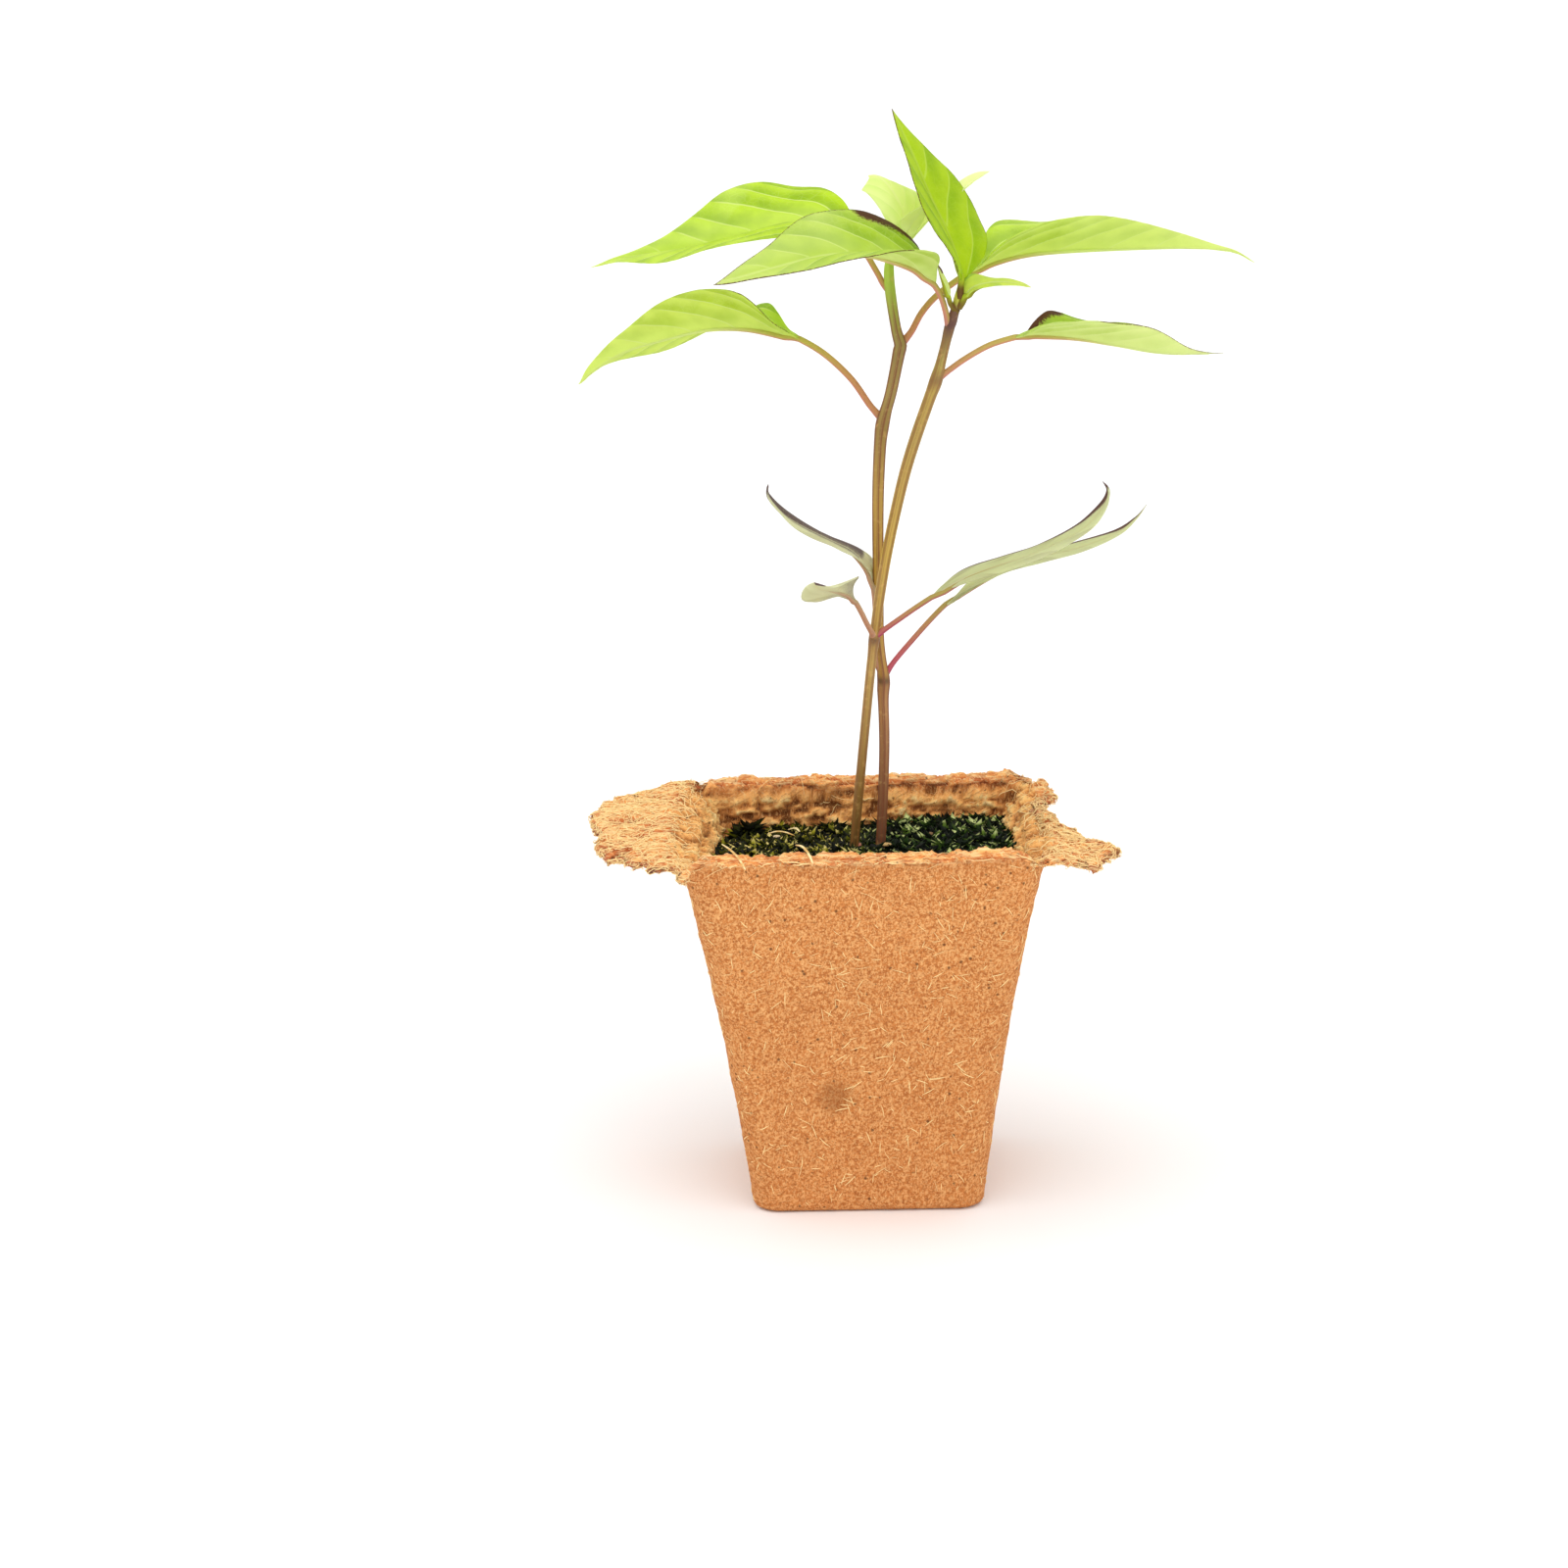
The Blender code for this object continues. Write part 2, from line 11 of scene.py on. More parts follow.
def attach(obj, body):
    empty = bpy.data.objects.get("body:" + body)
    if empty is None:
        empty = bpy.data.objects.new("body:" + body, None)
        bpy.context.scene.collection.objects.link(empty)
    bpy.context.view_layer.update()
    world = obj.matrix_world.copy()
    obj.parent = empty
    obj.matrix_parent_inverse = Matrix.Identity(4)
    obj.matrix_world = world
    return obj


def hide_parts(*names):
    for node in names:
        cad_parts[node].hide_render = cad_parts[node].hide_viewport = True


# Two young chilli plants in a square pot of pressed fibre that was torn off its neighbours.
# Sizes are in millimetres unless they say otherwise, and mm turns them into metres.
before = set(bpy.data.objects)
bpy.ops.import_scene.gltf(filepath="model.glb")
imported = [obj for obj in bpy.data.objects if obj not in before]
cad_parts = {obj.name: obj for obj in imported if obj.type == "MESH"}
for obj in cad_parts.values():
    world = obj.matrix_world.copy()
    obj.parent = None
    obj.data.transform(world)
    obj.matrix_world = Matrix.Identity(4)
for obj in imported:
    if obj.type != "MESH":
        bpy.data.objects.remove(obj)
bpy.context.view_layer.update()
mm = 0.001
print("frame loaded:", len(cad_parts), "nodes")


# Helpers for shapes
def smoothPath(points, count):
    given = np.array(points, float)
    ends = np.vstack([2 * given[0] - given[1], given, 2 * given[-1] - given[-2]])
    t = np.linspace(0, 1, 24, endpoint=False)[:, None]
    fine = []
    for i in range(1, len(ends) - 2):
        before, start, stop, after = ends[i - 1:i + 3]
        fine.append(0.5 * (
            2 * start + (stop - before) * t + (2 * before - 5 * start + 4 * stop - after) * t ** 2
            + (3 * start - before - 3 * stop + after) * t ** 3
        ))
    fine = np.vstack(fine + [given[-1:]])
    travelled = np.concatenate([[0], np.cumsum(np.linalg.norm(np.diff(fine, axis=0), axis=1))])
    stops = np.linspace(0, travelled[-1], count)
    return np.stack([np.interp(stops, travelled, fine[:, axis]) for axis in range(given.shape[1])], axis=1)


def tableAt(table, places):
    at, values = zip(*table)
    return np.interp(places, at, values)


def rising(values, start, over):
    # 0 up to start, and 1 once over is passed
    return np.clip((values - start) / over, 0, 1)


def wobble(places, scale, seed=0.0):
    # smooth noise, about -1 to 1, at an array of places
    flat = np.reshape(places * np.array(scale), (-1, 3))
    values = [noise.noise(Vector((x, y, z + seed))) for x, y, z in flat.tolist()]
    return np.reshape(values, np.shape(places)[:-1])


def ridges(places, scale, seed=0.0):
    # noise with sharp crests, 0 to 1
    return 1 - np.minimum(1, 2.4 * np.abs(wobble(places, scale, seed)))


def noiseSum(places, layers):
    # layers of noise: height, scale, seed and the power that narrows sharp crests, 0 for soft waves
    total = np.zeros(np.shape(places)[:-1])
    for height, scale, seed, power in layers:
        total += height * (ridges(places, scale, seed) ** power if power else wobble(places, scale, seed))
    return total


def bumpAt(places, spots):
    # how high the soft bumps (x, y, radius, height) stand at an array of places
    height = np.zeros(np.shape(places)[:-1])
    for x, y, radius, tall in spots:
        height += tall * np.exp(-((places[..., 0] - x) ** 2 + (places[..., 1] - y) ** 2) / radius ** 2)
    return height


def skinSheet(places, layers):
    # a grid whose rows and columns move to places (rows, columns, 3), closed round and at both ends
    rows, columns = places.shape[:2]
    bm = bmesh.new()
    bmesh.ops.create_grid(bm, x_segments=rows - 1, y_segments=columns, size=1)
    made = {key: bm.verts.layers.float.new(key) for key in layers}
    for vert in bm.verts:
        i = round((vert.co.x + 1) / 2 * (rows - 1))
        j = round((vert.co.y + 1) / 2 * columns) % columns
        vert.co = places[i, j] * mm
        for key, layer in made.items():
            vert[layer] = float(layers[key][i, j])
    ends = [vert for vert in bm.verts if vert.is_boundary]
    bmesh.ops.remove_doubles(bm, verts=ends, dist=1e-7)
    bmesh.ops.holes_fill(bm, edges=[edge for edge in bm.edges if edge.is_boundary], sides=0)
    bmesh.ops.recalc_face_normals(bm, faces=bm.faces)
    return bm


def keepPiece(name, mesh, replaced=()):
    mesh.shade_smooth()
    piece = bpy.data.objects.new(name, mesh)
    bpy.context.scene.collection.objects.link(piece)
    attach(piece, "root")
    if replaced:
        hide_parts(*replaced)
    return piece


def finishPiece(name, bm, materials, replaced=()):
    mesh = bpy.data.meshes.new(name)
    bm.to_mesh(mesh)
    bm.free()
    for finish in materials:
        mesh.materials.append(finish)
    return keepPiece(name, mesh, replaced)


def joinInto(bm, other):
    # adds the bmesh other to bm, with its layers
    spare = bpy.data.meshes.new("spare")
    other.to_mesh(spare)
    other.free()
    bm.from_mesh(spare)
    bpy.data.meshes.remove(spare)


def strandPiece(name, strands, materials):
    # many thin fibres as one mesh: each strand is its points, its radius and which material
    curve = bpy.data.curves.new(name, "CURVE")
    curve.dimensions = "3D"
    curve.bevel_depth = mm
    curve.bevel_resolution = 0
    curve.use_fill_caps = True
    for points, radius, kind in strands:
        spline = curve.splines.new("POLY")
        spline.points.add(len(points) - 1)
        taper = radius * (1 - 0.6 * np.abs(np.linspace(-1, 1, len(points))) ** 3)
        spline.points.foreach_set("co", np.column_stack([points * mm, np.ones(len(points))]).ravel())
        spline.points.foreach_set("radius", taper)
        spline.material_index = kind
    for finish in materials:
        curve.materials.append(finish)
    spare = bpy.data.objects.new(name + "Spare", curve)
    mesh = bpy.data.meshes.new_from_object(spare)
    mesh.name = name
    bpy.data.objects.remove(spare)
    bpy.data.curves.remove(curve)
    return keepPiece(name, mesh)


def ringFrames(path):
    # a direction along the path and two across it at every point, without twist
    along = np.gradient(path, axis=0)
    along /= np.linalg.norm(along, axis=1, keepdims=True)
    across = np.zeros_like(along)
    last = np.array([0.0, -1.0, 0.0])
    for i, step in enumerate(along):
        last = last - step * np.dot(last, step)
        last /= np.linalg.norm(last)
        across[i] = last
    return along, across, np.cross(along, across)


def tubePlaces(path, radii, sides, ribs=0, ribHeight=0.0, flat=1.0):
    along, across, other = ringFrames(path)
    turn = np.linspace(0, 2 * math.pi, sides, endpoint=False)
    radius = np.array(radii)[:, None] * (1 + ribHeight * np.cos(ribs * turn)[None, :])
    ring = across[:, None, :] * np.cos(turn)[None, :, None]
    ring = ring + other[:, None, :] * flat * np.sin(turn)[None, :, None]
    return path[:, None, :] + radius[..., None] * ring, turn


# Helpers for materials
class Finish:
    # a node material in the making: every call adds a node and gives back its output
    def __init__(self, name):
        self.material = bpy.data.materials.new(name)
        self.material.use_nodes = True
        self.tree = self.material.node_tree
        self.shader = self.tree.nodes["Principled BSDF"]
        self.output = self.tree.nodes["Material Output"]

    def add(self, kind, out=0, inputs=(), **settings):
        node = self.tree.nodes.new("ShaderNode" + kind)
        for key, value in settings.items():
            setattr(node, key, value)
        for key, value in dict(inputs).items():
            self.feed(node.inputs[key], value)
        return node.outputs[out]

    def feed(self, socket, value):
        if isinstance(value, bpy.types.NodeSocket):
            self.tree.links.new(value, socket)
        else:
            socket.default_value = value

    def layer(self, name):
        return self.add("Attribute", "Fac", attribute_name=name)

    def maths(self, operation, a, b=0.0, c=0.0):
        return self.add("Math", operation=operation, inputs={0: a, 1: b, 2: c})

    def fade(self, value, start, stop, low=0.0, high=1.0):
        return self.add("MapRange", interpolation_type="SMOOTHSTEP", inputs={
            "Value": value, "From Min": start, "From Max": stop, "To Min": low, "To Max": high,
        })

    def mix(self, share, a, b, blend="MIX"):
        return self.add("Mix", 2, data_type="RGBA", blend_type=blend, inputs={0: share, 6: a, 7: b})

    def grain(self, vector, scale, detail=2.0, rough=0.5):
        return self.add("TexNoise", 0, inputs={
            "Vector": vector, "Scale": scale, "Detail": detail, "Roughness": rough,
        })

    def streaks(self, vector, degrees, size, detail=2.0, rough=0.5):
        # grain drawn out along one turned axis, with the size of a streak in millimetres
        turned = self.add("Mapping", vector_type="TEXTURE", inputs={
            "Vector": vector, "Rotation": [math.radians(value) for value in degrees],
            "Scale": [value * mm for value in size],
        })
        return self.grain(turned, 1.0, detail, rough)

    def ramp(self, share, stops):
        # a colour ramp whose stops are (place, red, green, blue)
        ramp = self.tree.nodes.new("ShaderNodeValToRGB")
        self.feed(ramp.inputs[0], share)
        low, high = stops[0][0], stops[-1][0]
        for k, (at, *tone) in enumerate(stops):
            place = (at - low) / (high - low)
            stop = ramp.color_ramp.elements[k] if k < 2 else ramp.color_ramp.elements.new(place)
            stop.position = place
            stop.color = colour(*tone)
        return ramp.outputs[0]

    def bump(self, height, strength, distance):
        return self.add("Bump", inputs={"Height": height, "Strength": strength, "Distance": distance * mm})

    def finish(self, **sockets):
        for key, value in sockets.items():
            self.feed(self.shader.inputs[key.replace("_", " ")], value)
        return self.material


def colour(red, green, blue):
    # a colour as a picture shows it, 0 to 255, in linear light
    def linear(value):
        value /= 255
        return value / 12.92 if value <= 0.04045 else ((value + 0.055) / 1.055) ** 2.4
    return (linear(red), linear(green), linear(blue), 1.0)


# Camera, floor and light
view = {"place": (0, -0.656, 0.238), "pitchDown": 14.05, "turn": 1.2, "roll": -1.37, "lens": 86.76}
studio = {"world": 0.88, "overhead": 0.8, "front": 0.6, "floorSize": 60.0, "floor": colour(252, 252, 252)}

cameraData = bpy.data.cameras.new("camera")
cameraData.lens = view["lens"]
cameraData.sensor_width = 36
camera = bpy.data.objects.new("camera", cameraData)
bpy.context.scene.collection.objects.link(camera)
camera.matrix_world = (
    Matrix.Translation(view["place"])
    @ Matrix.Rotation(math.radians(view["turn"]), 4, "Z")
    @ Matrix.Rotation(math.radians(90 - view["pitchDown"]), 4, "X")
    @ Matrix.Rotation(math.radians(view["roll"]), 4, "Z")
)
bpy.context.scene.camera = camera
bpy.context.scene.view_settings.view_transform = "Standard"

world = bpy.data.worlds.new("studio")
bpy.context.scene.world = world
world.use_nodes = True
backdrop = world.node_tree.nodes["Background"]
backdrop.inputs["Color"].default_value = (1, 1, 1, 1)
backdrop.inputs["Strength"].default_value = studio["world"]


def addLamp(name, direction, strength, softness):
    lamp = bpy.data.lights.new(name, "SUN")
    lamp.energy = strength
    lamp.angle = math.radians(softness)
    holder = bpy.data.objects.new(name, lamp)
    holder.rotation_euler = Vector(direction).to_track_quat("Z", "Y").to_euler()
    bpy.context.scene.collection.objects.link(holder)


addLamp("overhead", (-0.25, -0.2, 1.0), studio["overhead"], 60)
addLamp("front", (0.45, -1.0, 0.9), studio["front"], 70)

bm = bmesh.new()
bmesh.ops.create_grid(bm, x_segments=2, y_segments=2, size=studio["floorSize"])
floorMesh = bpy.data.meshes.new("floor")
bm.to_mesh(floorMesh)
bm.free()
floor = bpy.data.objects.new("floor", floorMesh)
bpy.context.scene.collection.objects.link(floor)
paper = Finish("paper")
floorMesh.materials.append(paper.finish(Base_Color=studio["floor"], Roughness=0.8))
print("camera, floor and light placed")

# Pot
pot = {
    # outer half width at a height z: baseHalf + slope * z + flare * z ** 2
    "baseHalf": 20.6, "slope": 0.115, "flare": 0.0007, "wall": 2.4, "floor": 3.0, "corner": 5.0,
    "sideWall": 1.2,                             # how much thicker the two flanged walls are inside
    "wallRings": (2.4, 63.3, 40),                # even rings up the outside: from, to, how many
    "rim": 66.4, "rimTilt": 0.02, "rimLump": 0.5, "frontRise": 2.8, "frontLip": 0.9, "backLip": 2.0,
    "flangeThick": 2.2, "flangeLift": (0.4, 1.0), "droop": 0.11, "sideDip": 1.5, "dipReach": 3.2,
    "flangeFrom": 0.45,                          # a flange starts where the corner faces that far sideways
    "sideStations": (150, 190), "cornerStations": 10,
    # outwards and back inwards on the flange, as shares of its width
    "under": (0.04, 0.14, 0.24, 0.4, 0.56, 0.7, 0.84, 0.95), "over": (0.97, 0.03, 26),
    "foot": ((0, 1.6), (0.15, 0.8), (0.5, 0.25), (1.0, 0)),            # height and inset of the first rings
    "edgeRings": 8, "crestRings": 9, "crestFall": (3.1, 2.2),         # fall: at the sides, front and back
    "innerTop": (63.4, 56.5, -0.45), "innerLow": (55, 53, 50, 40, 30, 20, 10),
    # soft bumps and notches of the torn rim: x, y, radius, height
    "spots": (
        (-30.5, 30.5, 1.5, -2.6), (43, -21, 1.8, 1.9), (-32.5, 10, 1.3, -1.5), (-31.5, -12, 1.4, -0.9),
        (33, 24, 2.2, 0.9), (27.5, 31, 0.9, 1.1), (-22, 31.5, 1.6, 0.8), (-44, 12, 3.5, 0.9),
        (-38, -16, 3, 0.7), (36, -14, 2.4, -0.8), (-12, -31, 2.2, 0.5), (14, -31, 2.6, -0.5),
    ),
    # a slit torn through the root of the right flange: where, how long and how far out on the flange
    "slit": {"y": 5.2, "length": 16.6, "spread": (0.04, 0.24), "width": 0.95},
    "torn": ((0.45, 0.8, 0, 0), (0.55, 2.1, 5, 0), (0.75, 1.6, 12, 4)),
    "tornBack": 0.75, "tornPlain": 0.45,         # how far the torn edge lies back, its share where plain
    # the front's higher rim, the thinner front and the lift of the flanges: where each begins and over
    # how much it grows
    "frontEnds": (-31.5, 4), "frontFrom": (20, 5), "thinFrom": (5, 12), "liftFrom": (0, 14),
    "frontThin": 0.48, "lipThin": 0.2, "underBumps": 0.35,
    "frontCrest": (0.65, 1.7, 0.9),              # height, how far in and how wide
    "frontDrop": (0.8, 0.9),                     # fall, and over how much
    # outlines of the torn flanges from above, anticlockwise
    "leftFlange": (
        (-30.5, 27.9), (-30.9, 30.5), (-33, 35), (-37, 35.4), (-40.4, 32.8), (-44.4, 29.4), (-48.4, 25.2),
        (-50.1, 19.4), (-49.5, 12.6), (-48.9, 8.3), (-47.8, 5.8), (-47.3, -2.4), (-46.4, -9.1),
        (-45, -15), (-44.2, -14), (-42.1, -16.8), (-41.8, -20), (-40, -21.4), (-38.8, -21.2),
        (-37.2, -25.7), (-35.1, -26.4), (-33.2, -28.4), (-31.8, -31.4), (-31, -33.3), (-29.5, -32.6),
    ),
    "rightFlange": (
        (29.5, -31.9), (32.8, -28.6), (35.2, -27.6), (38.4, -28), (40.5, -29.5), (42.6, -24),
        (44.6, -19.8), (44.6, -16), (43.4, -15.6), (42.2, -18.8), (41.2, -17.2), (39.4, -12.4),
        (39.1, -6.3), (37.6, -5), (36.1, -1.4), (35.7, 4.2), (33.2, 5), (32.5, 8), (32.7, 11),
        (34.8, 15.4), (36.2, 20.3), (34, 24.5), (32.2, 27.5), (31.4, 29.2),
    ),
}
# how rough each part of the pot's skin is, which also tells the parts apart
roughOf = {
    "wall": 0.3, "root": 0.35, "depth": 0.4, "under": 0.8, "over": 1.0, "crest": 1.1, "edge": 1.2,
    "inner": 1.25,
}
# relief of the felt, as layers of noise
feltRelief = {
    "mats": ((0.42, (0.3, 0.8, 1.8), 2, 1), (0.32, (0.9, 2.4, 3.2), 7, 1)),
    "lumps": ((0.5, (0.16, 0.2, 0.3), 21, 0), (0.35, 0.5, 11, 0), (0.22, (1.4, 2.6, 2.6), 17, 0)),
    "cracks": ((-0.75, (0.12, 0.3, 0.5), 71, 3), (-0.6, (0.3, 0.55, 0.9), 81, 4)),
    "folds": (
        (0.9, (0.24, 0.24, 0.42), 61, 1.5), (0.5, (0.6, 0.6, 0.9), 66, 2), (0.5, (0.2, 0.2, 0.6), 51, 0),
    ),
    "sheets": ((0.5, (0.12, 0.3, 2.2), 41, 0),),
    "calm": ((0.22, 0.14, 31, 0), (0.12, 0.5, 33, 0), (0.07, 1.3, 35, 0)),
    "matSink": 0.25, "foldSink": 0.5, "frontCracks": 0.4, "lift": 0.85, "foldLift": 0.9,
    # deepAt: how far below the rim the painted shade and light of the inside reach in full
    "deepAt": (2.8, 9.0),                        # depth at which the inside is dark: sides, front and back
    "deepRows": 14, "foldRows": 10,              # where it begins, in rows before the inner wall
}
felt = {
    "base": colour(211, 134, 72), "darkStreak": colour(160, 90, 42), "paleStreak": colour(244, 186, 122),
    "sunkStreak": colour(160, 98, 46), "crackStreak": colour(204, 112, 62), "speck": colour(92, 58, 32),
    "fringe": colour(178, 102, 72), "crest": colour(255, 220, 160), "stain": colour(138, 80, 36),
    "edgeSpot": colour(104, 62, 50),
    # tones of the torn parts from sunken to raised: painted shade in the cracks up to painted highlight on
    # the crests
    "torn": (
        (0, 148, 72, 36), (0.3, 210, 126, 70), (0.5, 240, 164, 94), (0.72, 255, 184, 110),
        (1, 255, 218, 148),
    ),
    # tones inside the walls from sunken to raised: painted shade in the creases up to painted light on the
    # folds
    "inside": (
        (0, 128, 78, 36), (0.25, 206, 138, 74), (0.5, 248, 182, 106), (0.75, 255, 206, 130),
        (1, 255, 230, 164),
    ),
    # fibres pressed into the felt: turn in degrees, size in millimetres, tone on the walls and its share
    "flows": (
        ((10, -24, 14), (3.2, 0.34, 0.34), "darkStreak", 0.55),
        ((-35, 38, -40), (2.4, 0.28, 0.28), "darkStreak", 0.5),
        ((60, -70, 65), (2.8, 0.3, 0.3), "paleStreak", 0.6),
        ((25, 12, -72), (2.2, 0.4, 0.4), "paleStreak", 0.6),
    ),
    # wisps on the torn parts: turn, shift and tone; the pale crest wisps are partly pale fibres and partly
    # painted highlight
    "wisps": (
        (9, 0.0, "crackStreak"), (-7, 0.03, "crest"), (24, 0.06, "crackStreak"), (-20, 0.09, "crest"),
    ),
    "wispSize": (5.5, 1.9, 0.45), "cloudScale": 95.0, "mottleScale": 1500.0, "speckScale": 620.0,
    "stainPlace": (-2.9, -20.8, 25.2), "stainSize": (4.4, 1.0), "stainDrift": 5.0,
    # spots on the torn edge from above, and how wide they are
    "edgeSpots": (
        (-33.5, -29.5), (-31.8, -31.4), (-36.4, -25.8), (-48.6, -2), (44.2, -17.5), (36.5, 19.5),
    ),
    "edgeSpotSize": 0.8, "edgeSpotShare": 0.85,
}
# two tones that each kind of fibre varies between
fibreTones = {
    "pale": (colour(255, 222, 158),) * 2, "tan": (colour(248, 176, 104), felt["base"]),
    "dark": (colour(184, 100, 54),) * 2,
}
# fibres lying on the pot: how many, lengths, radii, how high they stand, how much they curl, shares of
# the three tones, points of each, and how far they tend to each axis
fibres = {
    "wallFibres": {
        "count": 1500, "length": (0.6, 2.8), "radius": (0.045, 0.1), "lift": 0.05, "curl": 0.1,
        "shares": (0.42, 0.13, 0.45), "points": 4, "heading": (0.8, 0.8, 1.0),
    },
    "rimFibres": {
        "count": 3200, "length": (2.0, 7.0), "radius": (0.05, 0.12), "lift": 0.16, "curl": 0.14,
        "shares": (0.5, 0.18, 0.32), "points": 6, "heading": (1.0, 0.45, 0.35),
    },
    "edgeFuzz": {
        "count": 900, "length": (0.5, 1.8), "radius": (0.035, 0.08), "lift": 0.4, "curl": 0.6,
        "shares": (0.7, 0.2, 0.1), "points": 6, "heading": (1.0, 0.45, 0.35),
    },
}


def outerHalf(z):
    return pot["baseHalf"] + pot["slope"] * z + pot["flare"] * z ** 2


def potStations():
    # round the pot from the front side's left end, anticlockwise: side or corner, share of it, quarter
    found = []
    for quarter in range(4):
        count = pot["sideStations"][quarter % 2]
        found += [(0, k / count, quarter) for k in range(count)]
        found += [(1, k / pot["cornerStations"], quarter) for k in range(pot["cornerStations"])]
    return np.array(found)


stations = potStations()


def squareRing(half, corner):
    # places and outward directions of a rounded square at every station
    inCorner, share, quarter = stations.T
    flat = half - corner
    angle = np.radians(np.where(inCorner == 1, 90 * share - 90, -90))
    x = np.where(inCorner == 1, flat + corner * np.cos(angle), -flat + 2 * flat * share)
    y = np.where(inCorner == 1, -flat + corner * np.sin(angle), -half)
    turn = np.radians(90 * quarter)
    place = np.stack([x * np.cos(turn) - y * np.sin(turn), x * np.sin(turn) + y * np.cos(turn)], axis=1)
    return place, np.stack([np.cos(angle + turn), np.sin(angle + turn)], axis=1)


def alongPolyline(points, shares):
    points = np.array(points, float)
    travelled = np.concatenate([[0], np.cumsum(np.linalg.norm(np.diff(points, axis=0), axis=1))])
    stops = np.array(shares) * travelled[-1]
    return np.stack([np.interp(stops, travelled, points[:, axis]) for axis in range(2)], axis=1)


def onFloor(places):
    return np.concatenate([places, 0 * places[:, :1]], axis=1)


rootPlace, rootOut = squareRing(outerHalf(pot["rim"]), pot["corner"])
lip = np.where(rootOut[:, 1:] < 0, pot["frontLip"], pot["backLip"])
rimEdge = rootPlace + rootOut * lip * rootOut[:, 1:] ** 2
torn = pot["tornPlain"] + 0 * rootOut[:, 0]
for key, direction in (("leftFlange", -1), ("rightFlange", 1)):
    side = rootOut[:, 0] * direction > pot["flangeFrom"]
    order = np.flatnonzero(side)
    if direction < 0:
        order = np.concatenate([order[order > len(stations) / 3], order[order < len(stations) / 3]])
    rimEdge[order] = alongPolyline(pot[key], np.linspace(0, 1, len(order)))
    torn[order] = 1
spikes = noiseSum(onFloor(rimEdge), pot["torn"])
rimEdge += rootOut * (torn * (spikes - pot["tornBack"]))[:, None]
flangeWidth = np.linalg.norm(rimEdge - rootPlace, axis=1)
onFront = rising(-np.abs(rootPlace[:, 0]), *pot["frontEnds"]) * rising(-rootPlace[:, 1], *pot["frontFrom"])
onSide = rising(np.abs(rootOut[:, 0]), 0.5, 0.5)
rimTop = pot["rim"] + pot["rimTilt"] * rootPlace[:, 1] + pot["frontRise"] * onFront
rimTop += pot["rimLump"] * wobble(onFloor(rootPlace), 0.11)
flangeLift = np.where(rootOut[:, 0] < 0, *pot["flangeLift"]) * onSide
rimTop += flangeLift * rising(-rootPlace[:, 1], *pot["liftFrom"])
thickAt = 1 - pot["frontThin"] * rising(-rootPlace[:, 1], *pot["thinFrom"])
thickAt = pot["flangeThick"] * (thickAt - pot["lipThin"] * rising(-rootOut[:, 1], 0.5, 0.5))
# near the slit the rows of the flange move apart, so that it keeps its width
slitAway = np.abs(rootPlace[:, 1] - pot["slit"]["y"]) / pot["slit"]["length"]
bySlit = (rootOut[:, 0] > 0.9) * np.clip(5 - slitAway * 8, 0, 1)
slitSpread = pot["slit"]["spread"][1]
slitReach = slitSpread + bySlit * np.clip(pot["slit"]["width"] / flangeWidth - slitSpread, 0, 0.5)


def flatRing(half, corner, z):
    place, out = squareRing(half, corner)
    return np.concatenate([place, np.full((len(place), 1), z)], axis=1)


def rimRing(spread, drop, inward=0.0):
    # spread is how far out on the torn flange, inward how far in from the outside of the wall
    if 0 < spread < 1:
        beyond = (spread - slitSpread) / (1 - slitSpread)
        within = spread / slitSpread * slitReach
        spread = np.where(spread < slitSpread, within, slitReach + beyond * (1 - slitReach))
        place = rootPlace + (rimEdge - rootPlace) * spread[:, None] - rootOut * inward
    else:
        place = rootPlace + (rimEdge - rootPlace) * spread - rootOut * inward
    sag = pot["droop"] * np.maximum(0, flangeWidth - 2) * spread
    out = spread * flangeWidth - np.ravel(inward)
    dip = pot["sideDip"] * onSide * np.clip(1 - out / pot["dipReach"], 0, 1) ** 1.2
    (high, back, width), (fall, over) = pot["frontCrest"], pot["frontDrop"]
    crest = onFront * (high * np.exp(-((out + back) / width) ** 2) - fall * rising(out, 0, over))
    bumps = pot["underBumps"] + (1 - pot["underBumps"]) * np.clip(1 - drop / thickAt, 0, 1)
    height = rimTop - drop - sag + (bumpAt(place, pot["spots"]) + crest - dip) * bumps
    return np.concatenate([place, height[:, None]], axis=1)


